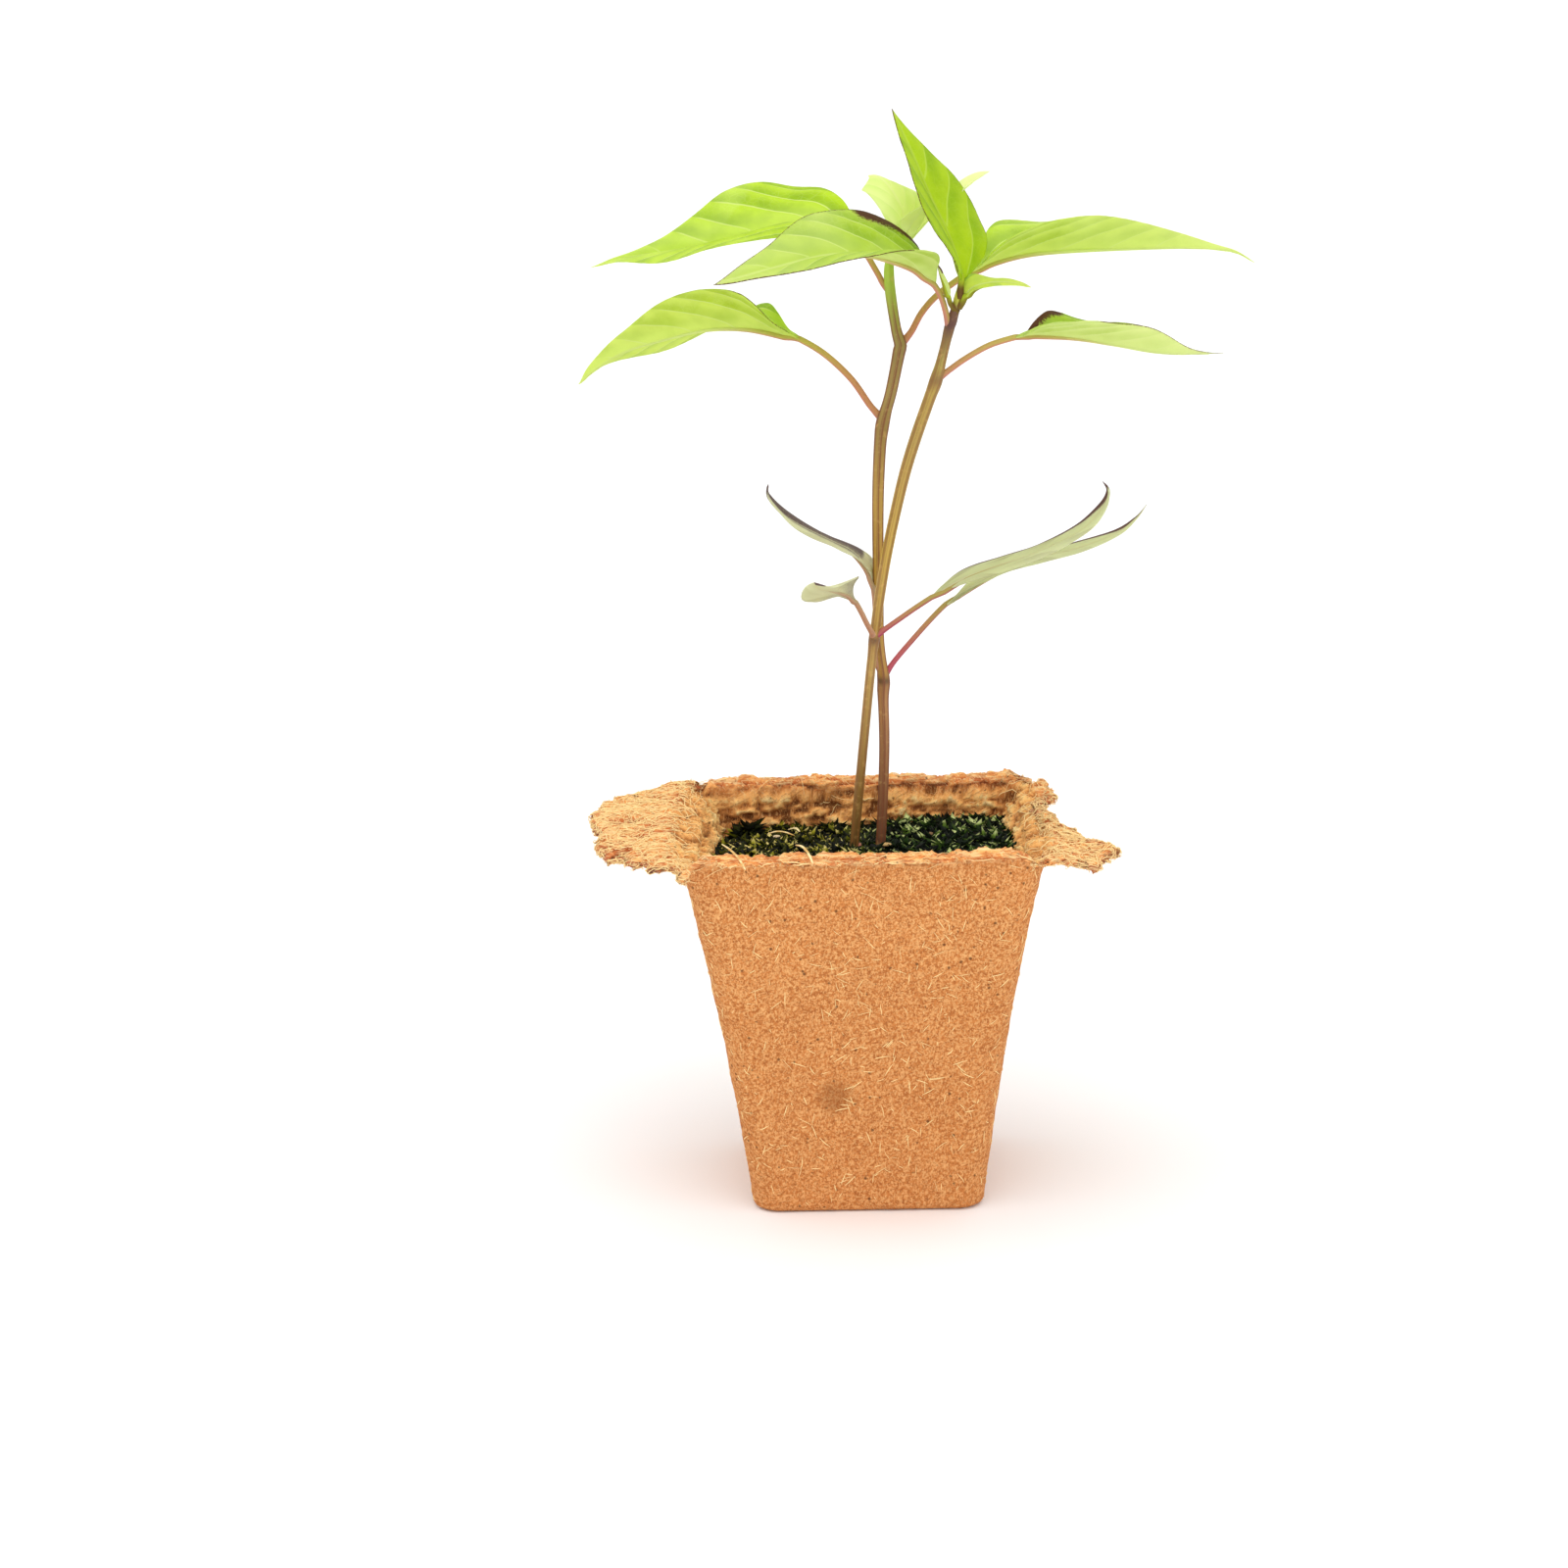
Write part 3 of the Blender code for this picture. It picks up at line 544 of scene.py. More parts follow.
def potRings():
    rings, kinds = [], []
    slitRows = ([], [])

    def put(ring, kind):
        rings.append(ring)
        kinds.append(roughOf[kind])

    corner, wall, thick = pot["corner"], pot["wall"], thickAt
    nearest, farthest = pot["slit"]["spread"]
    for z, back in pot["foot"]:
        put(flatRing(outerHalf(z) - back, corner - back, z), "wall")
    for z in np.linspace(*pot["wallRings"]):
        put(flatRing(outerHalf(z), corner, z), "wall")
    low, high = rings[-1], rimRing(0.0, thick + 0.2)
    for share in (0.35, 0.7):
        put(low * (1 - share) + high * share, "root")
    for spread in pot["under"]:
        if spread <= farthest:
            slitRows[0].append(len(rings))
        put(rimRing(spread, thick + 0.2 * (1 - spread)), "under")
    for k in range(pot["edgeRings"]):
        angle = math.pi * (k + 0.5) / pot["edgeRings"]
        drop = thick * (0.5 + 0.42 * math.cos(angle)) + 0.15
        put(rimRing(1.0 + 0.012 * math.sin(angle), drop), "edge")
    for spread in np.linspace(*pot["over"]):
        if nearest <= spread <= farthest:
            slitRows[1].append(len(rings))
        put(rimRing(spread, 0.15 * spread), "over")
    sideways = np.abs(rootOut[:, 0]) > 0.6
    curve, fall = np.where(sideways, 1.0, 0.6), np.where(sideways, *pot["crestFall"])
    for angle in np.linspace(0, math.pi / 2, pot["crestRings"]):
        drop, inward = fall * (1 - math.cos(angle) ** curve), wall * math.sin(angle) ** curve
        put(rimRing(0.0, drop, inward[:, None]), "crest")
    inner = [*np.arange(*pot["innerTop"]), *pot["innerLow"], pot["floor"]]
    for z in inner:
        ring = flatRing(outerHalf(z) - wall, corner - wall, z)
        more = pot["sideWall"] * onSide * min(1, max(0, (64 - z) / 5), (z - pot["floor"]) / 8)
        ring[:, :2] -= rootOut * more[:, None]
        ring[:, 2] = np.minimum(z, rings[-1][:, 2] - 0.15)
        put(ring, "inner" if z > 54 else "depth")
    return np.array(rings), np.array(kinds), len(rings) - len(inner), slitRows


potPlaces, roughness, innerStart, slitRows = potRings()
rows, columns = potPlaces.shape[:2]
stepAlong = np.gradient(potPlaces, axis=0)
stepAround = np.roll(potPlaces, -1, axis=1) - np.roll(potPlaces, 1, axis=1)
potNormal = np.cross(stepAround, stepAlong)
potNormal /= np.linalg.norm(potNormal, axis=2, keepdims=True) + 1e-9
roughAll = roughness[:, None] * np.ones((rows, columns))
inside = (np.arange(rows) >= innerStart - feltRelief["deepRows"])[:, None] * 1.0
deep = np.clip((rimTop - potPlaces[..., 2]) / np.where(onSide > 0.5, *feltRelief["deepAt"]), 0, 1) * inside
kindsOfNoise = ("mats", "lumps", "cracks", "folds", "sheets", "calm")
felted = {key: noiseSum(potPlaces, feltRelief[key]) for key in kindsOfNoise}
folding = (np.arange(rows) > innerStart - feltRelief["foldRows"])[:, None]
folds = (felted["folds"] - feltRelief["foldSink"]) * rising(roughness, 1.0, 0.25)[:, None] * folding
cracks = felted["cracks"] * (1 - (1 - feltRelief["frontCracks"]) * onFront)
relief = felted["mats"] - feltRelief["matSink"] + felted["lumps"] + cracks
roughShare = rising(roughness, 0.35, 0.5)[:, None]
potLift = roughShare * roughAll * feltRelief["lift"] * relief + (1 - roughShare) * felted["calm"]
potLift += felted["sheets"] * (roughAll == roughOf["edge"]) + feltRelief["foldLift"] * folds
relief += folds
potLift[potPlaces[..., 2] < 0.6] = 0
potPlaces = potPlaces + potNormal * potLift[..., None]
potPlaces[..., 2] = np.maximum(potPlaces[..., 2], 0)


def feltMaterial():
    skin = Finish("pressedFibre")
    place = skin.add("TexCoord", "Object")
    rough, relief, deep = (skin.layer(key) for key in ("rough", "relief", "deep"))
    flows = [skin.streaks(place, turn, size, 2.0, 0.55) for turn, size, _, _ in felt["flows"]]
    clouds = skin.grain(place, felt["cloudScale"], 3.0, 0.55)
    mottle = skin.grain(place, felt["mottleScale"], 3.0, 0.65)

    # smooth pressed walls
    face = skin.mix(skin.fade(clouds, 0.4, 0.66, 0.0, 0.16), felt["base"], felt["darkStreak"])
    face = skin.mix(skin.fade(mottle, 0.52, 0.64, 0.0, 0.66), face, felt["darkStreak"])
    face = skin.mix(skin.fade(mottle, 0.48, 0.37, 0.0, 0.62), face, felt["paleStreak"])
    for flow, (_, _, tone, share) in zip(flows, felt["flows"]):
        face = skin.mix(skin.fade(flow, 0.53, 0.63, 0.0, share), face, felt[tone])

    # torn rim and flanges, coloured by their relief: painted shade in the sunken cracks and painted highlight
    # on the raised crests
    reliefShadeAndHighlight = skin.add("MapRange", inputs={"Value": relief, "From Min": -0.9, "From Max": 0.75})
    raw = skin.ramp(reliefShadeAndHighlight, felt["torn"])
    raw = skin.mix(skin.fade(flows[0], 0.53, 0.62, 0.0, 0.6), raw, felt["crackStreak"])
    # pale crest streaks: partly pale fibres, partly painted highlight
    raw = skin.mix(skin.fade(flows[1], 0.55, 0.64, 0.0, 0.7), raw, felt["crest"])
    raw = skin.mix(skin.fade(mottle, 0.54, 0.68, 0.0, 0.5), raw, felt["crackStreak"])
    fringe = skin.maths("MULTIPLY", skin.layer("fringe"), skin.fade(clouds, 0.4, 0.52, 0.0, 0.8))
    raw = skin.mix(fringe, raw, felt["fringe"])
    outside = skin.fade(deep, 0.0, 0.1, 0.62, 0.12)
    for turn, shift, tone in felt["wisps"]:
        moved = skin.add("VectorMath", operation="ADD", inputs={0: place, 1: (shift, shift, shift)})
        wisp = skin.streaks(moved, (0, 0, turn), felt["wispSize"], 2.0, 0.6)
        raw = skin.mix(skin.maths("MULTIPLY", skin.fade(wisp, 0.55, 0.63), outside), raw, felt[tone])
    tone = skin.mix(skin.fade(rough, 0.4, 0.85), face, raw)
    # painted shade: the walls darken a little towards the bottom
    height = skin.add("SeparateXYZ", 2, inputs={0: place})
    tone = skin.mix(skin.fade(height, 0.066, 0.02, 0.0, 0.14), tone, felt["darkStreak"])

    # inside of the walls, coloured by relief and depth: painted shade in the creases, and painted light on
    # the raised folds against the shade inside the pot
    insideReliefShadeAndLight = skin.add("MapRange", inputs={"Value": relief, "From Min": -0.8, "From Max": 0.9})
    inner = skin.ramp(insideReliefShadeAndLight, felt["inside"])
    inner = skin.mix(skin.fade(flows[0], 0.52, 0.6, 0.0, 0.5), inner, felt["sunkStreak"])
    inner = skin.mix(skin.fade(flows[2], 0.54, 0.62, 0.0, 0.6), inner, felt["paleStreak"])
    inward = skin.maths("MULTIPLY", deep, skin.maths("MULTIPLY_ADD", relief, -0.6, 1.0))
    tone = skin.mix(skin.fade(inward, 0.02, 0.42, 0.0, 0.94), tone, inner)

    # dark specks, one stain and the spots of the torn edge
    speckPlace = skin.add("TexVoronoi", "Distance", inputs={
        "Vector": place, "Scale": felt["speckScale"], "Randomness": 1.0,
    })
    speckPick = skin.fade(skin.grain(place, 700.0, 1.0), 0.54, 0.6, 0.0, 0.8)
    speck = skin.maths("MULTIPLY", skin.fade(speckPlace, 0.24, 0.1), speckPick)
    tone = skin.mix(speck, tone, felt["speck"])
    drift = skin.add("TexNoise", 1, inputs={"Vector": place, "Scale": 300.0, "Detail": 2.0})
    shifted = skin.add("VectorMath", operation="MULTIPLY_ADD", inputs={
        0: drift, 1: [felt["stainDrift"] * mm] * 3, 2: place,
    })
    stainAway = skin.add("VectorMath", "Value", operation="DISTANCE", inputs={
        0: shifted, 1: [value * mm for value in felt["stainPlace"]],
    })
    stainFrom, stainTo = (value * mm for value in felt["stainSize"])
    tone = skin.mix(skin.fade(stainAway, stainFrom, stainTo, 0.0, 0.5), tone, felt["stain"])
    tone = skin.mix(skin.layer("spot"), tone, felt["edgeSpot"])

    weave = skin.maths("ADD", skin.maths("ADD", flows[0], flows[1]), skin.maths("ADD", flows[2], flows[3]))
    weave = skin.maths("ADD", weave, skin.maths("MULTIPLY", mottle, 0.8))
    return skin.finish(
        Base_Color=tone, Roughness=0.93, Specular_IOR_Level=0.2, Normal=skin.bump(weave, 0.5, 0.3),
    )


def openSlit(bm):
    # opens the same faces of the flange's underside and top and joins the two edges through it
    slit = pot["slit"]
    cells = bm.verts.layers.float["cellNumber"]
    away = np.where(rootOut[:, 0] > 0.9, np.abs(rootPlace[:, 1] - slit["y"]), 99)
    middle = int(np.argmin(away))
    reach = round(slit["length"] / 2 / np.linalg.norm(rootPlace[middle + 1] - rootPlace[middle]))
    doomed = []
    for face in bm.faces:
        numbers = [round(vert[cells]) for vert in face.verts]
        if all(abs(number % columns - middle) <= reach for number in numbers):
            places = {number // columns for number in numbers}
            if any(places <= set(numbered) for numbered in slitRows):
                doomed.append(face)
    bmesh.ops.delete(bm, geom=doomed, context="FACES")
    bmesh.ops.bridge_loops(bm, edges=[edge for edge in bm.edges if edge.is_boundary])
    bmesh.ops.recalc_face_normals(bm, faces=bm.faces)


spotAway = np.linalg.norm(potPlaces[:, :, None, :2] - np.array(felt["edgeSpots"]), axis=3)
spot = np.clip(1.6 - spotAway.min(axis=2) / felt["edgeSpotSize"], 0, felt["edgeSpotShare"])
bm = skinSheet(potPlaces, {
    "rough": roughAll, "relief": relief, "spot": spot * (potPlaces[..., 2] > 60), "deep": deep,
    "fringe": (roughAll == roughOf["edge"]) * rising(flangeWidth, 0, 6),
    "cellNumber": np.arange(rows * columns).reshape(rows, columns),
})
openSlit(bm)
potSurface = BVHTree.FromBMesh(bm)
potPiece = finishPiece("fibrePot", bm, [feltMaterial()], ["fibre_pot"])
print("pot made:", len(potPiece.data.polygons), "faces")


def fibreMaterial(name):
    skin = Finish(name + "Fibre")
    place = skin.add("TexCoord", "Object")
    tone = skin.mix(skin.grain(place, 900.0, 2.0), *fibreTones[name])
    return skin.finish(Base_Color=tone, Roughness=0.8, Specular_IOR_Level=0.25)


def cellWeights(kind):
    # how likely a fibre starts at each place of the pot
    around = np.linalg.norm(np.roll(potPlaces, -1, axis=1) - potPlaces, axis=2)
    up = np.linalg.norm(np.diff(potPlaces, axis=0, append=potPlaces[-1:]), axis=2)
    wide = np.clip(flangeWidth / 4, 0.3, 1.5)

    def on(*kinds):
        return np.isin(roughAll, [roughOf[key] for key in kinds])

    share = {
        "wallFibres": on("wall", "root") * (potPlaces[..., 2] > 1.5),
        "rimFibres": on("under", "over") * wide * (1.05 - deep) ** 2 + on("inner") * 0.03,
        "edgeFuzz": on("edge") * (0.4 + torn) + on("over") * 0.08,
    }[kind]
    return (share * around * up * (potPlaces[..., 2] > 1)).ravel()


def layFibre(start, heading, length, setting, draws):
    # a fibre that follows the pot's skin and lifts off it a little
    place, path = Vector(start * mm), []
    direction = Vector(heading)
    step = length / (setting["points"] - 1) * mm
    high = setting["lift"] * draws.uniform(0.3, 1.6)
    for k in range(setting["points"]):
        found, normal, _, _ = potSurface.find_nearest(place)
        share = k / (setting["points"] - 1)
        standing = 0.03 + high * math.sin(math.pi * share)
        path.append(np.array(found + normal * standing * mm) / mm)
        direction += Vector(draws.normal(0, setting["curl"], 3))
        direction -= normal * direction.dot(normal)
        direction.normalize()
        place = found + direction * step
    return np.array(path)


def addFibres(name, setting, seed):
    draws = np.random.default_rng(seed)
    weights = cellWeights(name)
    picks = draws.choice(len(weights), setting["count"], p=weights / weights.sum())
    flatPlaces = potPlaces.reshape(-1, 3)
    strands = []
    for pick in picks:
        length = draws.uniform(*setting["length"])
        radius = draws.uniform(*setting["radius"])
        kind = int(draws.choice(3, p=setting["shares"]))
        start = flatPlaces[pick] + draws.normal(0, 0.2, 3)
        heading = draws.normal(0, setting["heading"])
        strands.append((layFibre(start, heading, length, setting, draws), radius, kind))
    materials = [fibreSkins[key] for key in ("pale", "tan", "dark")]
    return strandPiece(name, strands, materials)


fibreSkins = {key: fibreMaterial(key) for key in fibreTones}
for number, (name, setting) in enumerate(fibres.items()):
    piece = addFibres(name, setting, 11 + number)
    print(name, "made:", len(piece.data.polygons), "faces")

# Soil and moss
soil = {
    "level": 60.4, "tilt": (0.02, -0.062), "rings": 46, "gap": 2.1, "corner": 3.0,
    "lowRings": (3.3, 20, 40, 57), "lowGap": 2.3, "lowCorner": 2.6,
    "relief": ((0.5, 0.33, 0, 0), (0.3, 0.8, 9, 0), (0.3, 1.7, 4, 0)),
    "mounds": ((-29, 24, 9, -2.6), (14, 20, 9, 0.7), (1, 2, 6, 0.8), (20, 8, 6, 0.4), (-21.5, 22, 2.5, 1.2)),
    "earth": colour(44, 36, 20), "wet": colour(10, 14, 4), "moss": colour(20, 30, 8),
}
# tufts of small pointed leaves: how many tufts and leaves in each, their lengths, widths and lean
moss = {
    "tufts": 1300, "leaves": (6, 11), "length": (1.0, 2.8), "width": (0.55, 1.2), "lean": (42, 98),
    "gap": 3.4, "flat": 0.3, "light": (-0.15, 0.1), "patchScale": 0.3, "patchShare": 0.55, "batch": 18,
    "clump": {"x": -21.3, "y": 22.5, "radius": 1.5, "tufts": 14, "tall": 1.8},
    # tones of the moss leaves from dark to pale, on the left and on the right; the palest stops are painted
    # glints
    "leftTones": (
        (0, 10, 12, 2), (0.3, 36, 40, 6), (0.55, 78, 78, 10), (0.8, 156, 148, 36), (1, 236, 214, 130),
    ),
    "rightTones": (
        (0, 5, 10, 3), (0.35, 18, 32, 9), (0.6, 40, 62, 16), (0.82, 92, 116, 40), (1, 204, 214, 140),
    ),
}
# bits of straw: points, radius and how flat they are. Those behind the front wall follow the soil, and
# their heights are given over a soil at strawLevel.
strawLevel = 61.3
straws = (
    (((-24.1, -27.2, 70.1), (-22.6, -29.3, 69.6), (-21.2, -31.4, 68.7), (-20.0, -33.4, 67.2)), 0.25, 0.6),
    (((-11.4, -28.2, 70.0), (-10.2, -30.2, 70.2), (-9.2, -32.0, 69.5), (-8.4, -33.3, 68.0)), 0.22, 0.7),
    (((-17.4, 17.2, 62.4), (-15.8, 16.6, 63.0), (-14.2, 16.9, 62.8), (-12.4, 16.2, 62.3)), 0.26, 0.5),
    (((-13.6, 19.8, 62.6), (-12.2, 18.4, 63.2), (-11.4, 17.0, 62.9)), 0.22, 0.5),
)
strawTones = (colour(250, 226, 166), colour(214, 166, 92))
# small bits lying on the soil: place, size along three axes, turn in degrees and colour
scraps = (
    ((4.4, 1.6), (1.0, 0.5, 0.3), 20, colour(196, 160, 100)),
    ((-0.8, 2.2), (0.8, 0.5, 0.3), -30, colour(186, 116, 90)),
    ((-13.2, 8.5), (1.2, 0.5, 0.2), 40, colour(190, 176, 66)),
    ((-15.6, 14.6), (0.7, 0.4, 0.2), 10, colour(214, 190, 150)),
    ((12.6, 10.5), (0.7, 0.5, 0.3), 60, colour(120, 88, 50)),
)


def soilHeight(x, y):
    place = np.stack([x, y, 0 * x], axis=-1)
    slope = soil["tilt"][0] * x + soil["tilt"][1] * y
    return soil["level"] + slope + noiseSum(place, soil["relief"]) + bumpAt(place, soil["mounds"])


soilRings = [flatRing(outerHalf(z) - soil["lowGap"], soil["lowCorner"], z) for z in soil["lowRings"]]
soilEdge, _ = squareRing(outerHalf(60) - soil["gap"], soil["corner"])
for share in np.linspace(1, 0.01, soil["rings"]):
    x, y = soilEdge.T * share
    soilRings.append(np.stack([x, y, soilHeight(x, y)], axis=1))
soilPlaces = np.array(soilRings)[:, ::3]        # every third station is enough here


def earthMaterial():
    skin = Finish("mossySoil")
    place = skin.add("TexCoord", "Object")
    grains = skin.grain(place, 420.0, 4.0, 0.62)
    green = skin.fade(skin.grain(place, 150.0, 2.0), 0.4, 0.6)
    tone = skin.mix(green, soil["earth"], soil["moss"])
    tone = skin.mix(skin.fade(grains, 0.48, 0.72), tone, soil["wet"])
    return skin.finish(
        Base_Color=tone, Roughness=0.9, Specular_IOR_Level=0.05, Normal=skin.bump(grains, 0.9, 0.9),
    )


finishPiece("mossySoil", skinSheet(soilPlaces, {}), [earthMaterial()], ["soil"])


def soilAt(x, y):
    return float(soilHeight(np.array([x]), np.array([y]))[0])


def mossMaterial():
    skin = Finish("moss")
    shade = skin.layer("shade")
    sideways = skin.add("SeparateXYZ", 0, inputs={0: skin.add("TexCoord", "Object")})
    tone = skin.mix(
        skin.fade(sideways, -0.008, 0.006),
        skin.ramp(shade, moss["leftTones"]), skin.ramp(shade, moss["rightTones"]),
    )
    return skin.finish(Base_Color=tone, Roughness=0.5, Specular_IOR_Level=0.05)


def mossTufts(draws):
    # each tuft: centre, how tall its leaves are beside the others
    half = outerHalf(60) - moss["gap"]
    spots = [(*draws.uniform(-half, half, 2), 1.0) for _ in range(moss["tufts"])]
    clump = moss["clump"]
    for _ in range(clump["tufts"]):
        x, y = draws.normal((clump["x"], clump["y"]), clump["radius"] * 0.5)
        spots.append((x, min(y, half), clump["tall"]))
    return spots


def makeMoss():
    draws = np.random.default_rng(5)
    whole = bmesh.new()
    whole.verts.layers.float.new("shade")
    batch = bmesh.new()
    shade = batch.verts.layers.float.new("shade")
    for number, (x, y, tall) in enumerate(mossTufts(draws)):
        ground = soilAt(x, y) + (tall - 1) * 0.7 + draws.uniform(0, 0.5)
        patch = moss["patchShare"] * float(wobble(np.array([x, y, 0]), moss["patchScale"], 6))
        light = draws.uniform(*moss["light"]) + patch - 0.3 * (tall > 1)
        for _ in range(draws.integers(*moss["leaves"])):
            length = draws.uniform(*moss["length"]) * (0.6 + 0.4 * tall)
            width = draws.uniform(*moss["width"]) * (0.4 + 0.6 * tall)
            lean, turn = math.radians(draws.uniform(*moss["lean"])), draws.uniform(0, 2 * math.pi)
            stand = Matrix.Translation(Vector((x, y, ground - 0.2)) * mm) @ Matrix.Rotation(turn, 4, "Z")
            stand = stand @ Matrix.Rotation(lean, 4, "Y") @ Matrix.Rotation(draws.normal(0, 0.4), 4, "Z")
            stand = stand @ Matrix.Diagonal((moss["flat"], 1, 1, 1))
            made = bmesh.ops.create_cone(
                batch, cap_ends=True, segments=4, radius1=width * mm, radius2=0, depth=length * mm,
                matrix=stand @ Matrix.Translation((0, 0, length / 2 * mm)),
            )
            # each leaf has its own tone and grows lighter towards its tip: painted shade at its base inside
            # the tuft, and painted glints at the palest tones
            tone = light + draws.uniform(0, 1.08) ** 2.5
            for vert in made["verts"]:
                tip = (vert.co - stand.translation).length / (length * mm)
                vert[shade] = tone * (0.45 + 0.75 * min(1, tip))
        if number % moss["batch"] == moss["batch"] - 1:
            joinInto(whole, batch)
            batch = bmesh.new()
            shade = batch.verts.layers.float.new("shade")
    joinInto(whole, batch)
    return finishPiece("mossLeaflets", whole, [mossMaterial()])


def makeBits():
    skin = Finish("strawBits")
    place = skin.add("TexCoord", "Object")
    tone = skin.mix(skin.fade(skin.grain(place, 600.0, 3.0), 0.4, 0.65), *strawTones)
    skin.finish(Base_Color=tone, Roughness=0.6, Specular_IOR_Level=0.35)
    whole = bmesh.new()
    for points, radius, flat in straws:
        path = smoothPath(points, 24)
        if points[0][1] > 0:
            path[:, 2] += soilAt(*path.mean(axis=0)[:2]) - strawLevel
        radii = radius * (1 - 0.55 * np.abs(np.linspace(-1, 1, 24)) ** 4)
        places, _ = tubePlaces(path, radii, 12, 3, 0.08, flat)
        joinInto(whole, skinSheet(places, {}))
    finishPiece("strawBits", whole, [skin.material])
    for number, (spot, size, turn, tone) in enumerate(scraps):
        spot = (*spot, soilAt(*spot) + 0.9)
        chip = Finish("scrap" + str(number))
        chip.finish(Base_Color=tone, Roughness=0.6, Specular_IOR_Level=0.3)
        bm = bmesh.new()
        bmesh.ops.create_icosphere(
            bm, subdivisions=3, radius=mm,
            matrix=Matrix.Translation(Vector(spot) * mm) @ Matrix.Rotation(math.radians(turn), 4, "Z")
            @ Matrix.Rotation(0.35, 4, "X") @ Matrix.Diagonal((*size, 1)),
        )
        for vert in bm.verts:
            vert.co += vert.co.normalized() * 0.12 * mm * noise.noise(vert.co * 900)
        finishPiece("scrap" + str(number), bm, [chip.material])


mossPiece = makeMoss()
makeBits()
print("soil made, moss:", len(mossPiece.data.polygons), "faces")

# Stems
stems = {
    "front": {
        "slot": "olive_stem", "node": "front_stem", "ribs": 4, "stripe": -0.5,
        "path": (
            (-2.4, 2.2, 48), (-1.4, 2.0, 61.5), (0.4, 1.7, 78.5), (2.0, 1.4, 92.9), (2.9, 1.0, 100.1),
            (4.2, 0.5, 109), (5.9, 0, 117.9), (8.4, -0.6, 128.4), (10.5, -1.0, 135.3),
            (13.0, -1.6, 142.3), (14.4, -2.0, 146.1), (15.7, -2.5, 150.9), (16.8, -3.0, 155.3),
            (17.9, -3.1, 156.9), (18.7, -3.4, 160.4),
        ),
        "top": ((17.2, -3.0, 156.3), (18.0, -3.2, 159), (18.4, -3.3, 161), (18.7, -3.4, 162.6)),
        "radii": (
            (48, 0.4), (56, 0.8), (98, 0.8), (99.5, 1.05), (101.5, 0.86), (122, 0.92), (135, 1.0),
            (144, 1.0), (146.1, 1.2), (148, 0.88), (152, 0.78), (154.5, 0.82), (155.3, 1.0), (157, 0.8),
            (159, 0.75), (161, 0.6), (162.6, 0.3),
        ),
        "tones": (
            (60, 74, 54, 22), (64, 104, 76, 32), (71, 138, 102, 44), (82, 172, 136, 68),
            (95, 190, 156, 84), (98.4, 176, 140, 76), (99.6, 110, 78, 54), (100.8, 180, 146, 72),
            (115, 196, 162, 74), (135, 178, 148, 76), (144, 180, 152, 72), (146, 140, 108, 60),
            (148.5, 170, 150, 74), (153, 132, 108, 58), (155.6, 92, 58, 52), (158.4, 112, 78, 52),
            (160.2, 190, 190, 66), (162.6, 196, 206, 60),
        ),
        # edge: colour of the darker stripes, partly the stem's own and partly painted shade of its edges
        "edge": colour(138, 94, 46), "stripeShadeShare": 0.7,
    },
    "rear": {
        "slot": "brown_stem", "node": "rear_stem", "ribs": 6, "stripe": 0.5,
        "path": (
            (1.6, 3.2, 48), (3.3, 3.0, 61), (4.3, 3.6, 78), (4.3, 3.9, 88.7), (4.4, 4.0, 92),
            (3.7, 4.2, 99.4), (3.8, 4.5, 110), (3.9, 4.8, 120.6), (4.2, 5.0, 129), (4.9, 5.2, 136.9),
            (6.6, 5.3, 143.1), (8.1, 5.9, 149.9), (8.4, 6.0, 151.3), (7.7, 6.1, 154), (7.1, 6.2, 159.5),
            (7.1, 6.3, 162.8), (8.2, 6.4, 165), (9.2, 6.5, 166.6),
        ),
        "top": ((7.7, 6.1, 154), (6.9, 6.2, 159.5), (6.6, 6.3, 163.2), (6.7, 6.4, 165.8), (6.9, 6.5, 167.2)),
        "radii": (
            (48, 0.4), (56, 0.9), (75, 0.95), (88, 1.0), (91.5, 1.28), (94, 0.97), (115, 1.03), (128, 1.1),
            (134.5, 1.15), (137.8, 1.35), (140, 1.05), (148, 1.1), (151.3, 1.25), (153.5, 0.95),
            (157, 0.95), (160.3, 1.0), (163.5, 0.95), (165.5, 0.9), (167.2, 0.5),
        ),
        "tones": (
            (60, 74, 46, 32), (64, 116, 74, 50), (71, 142, 94, 58), (80, 166, 118, 74),
            (88, 178, 130, 80), (90.6, 168, 122, 72), (91.6, 98, 72, 46), (92.8, 176, 132, 66),
            (105, 196, 156, 66), (125, 188, 150, 74), (137, 150, 122, 62), (142, 160, 134, 74),
            (150, 148, 124, 68), (154, 150, 138, 62), (158, 158, 164, 62), (162, 164, 186, 62),
            (167, 178, 208, 70),
        ),
        "edge": colour(122, 68, 38), "stripeShadeShare": 0.8,
    },
}
stemShape = {
    "rings": 260, "sides": 32, "ribHeight": 0.05, "streakRound": 1.6, "streakUp": 55.0,
    "fleck": colour(224, 180, 110),
}


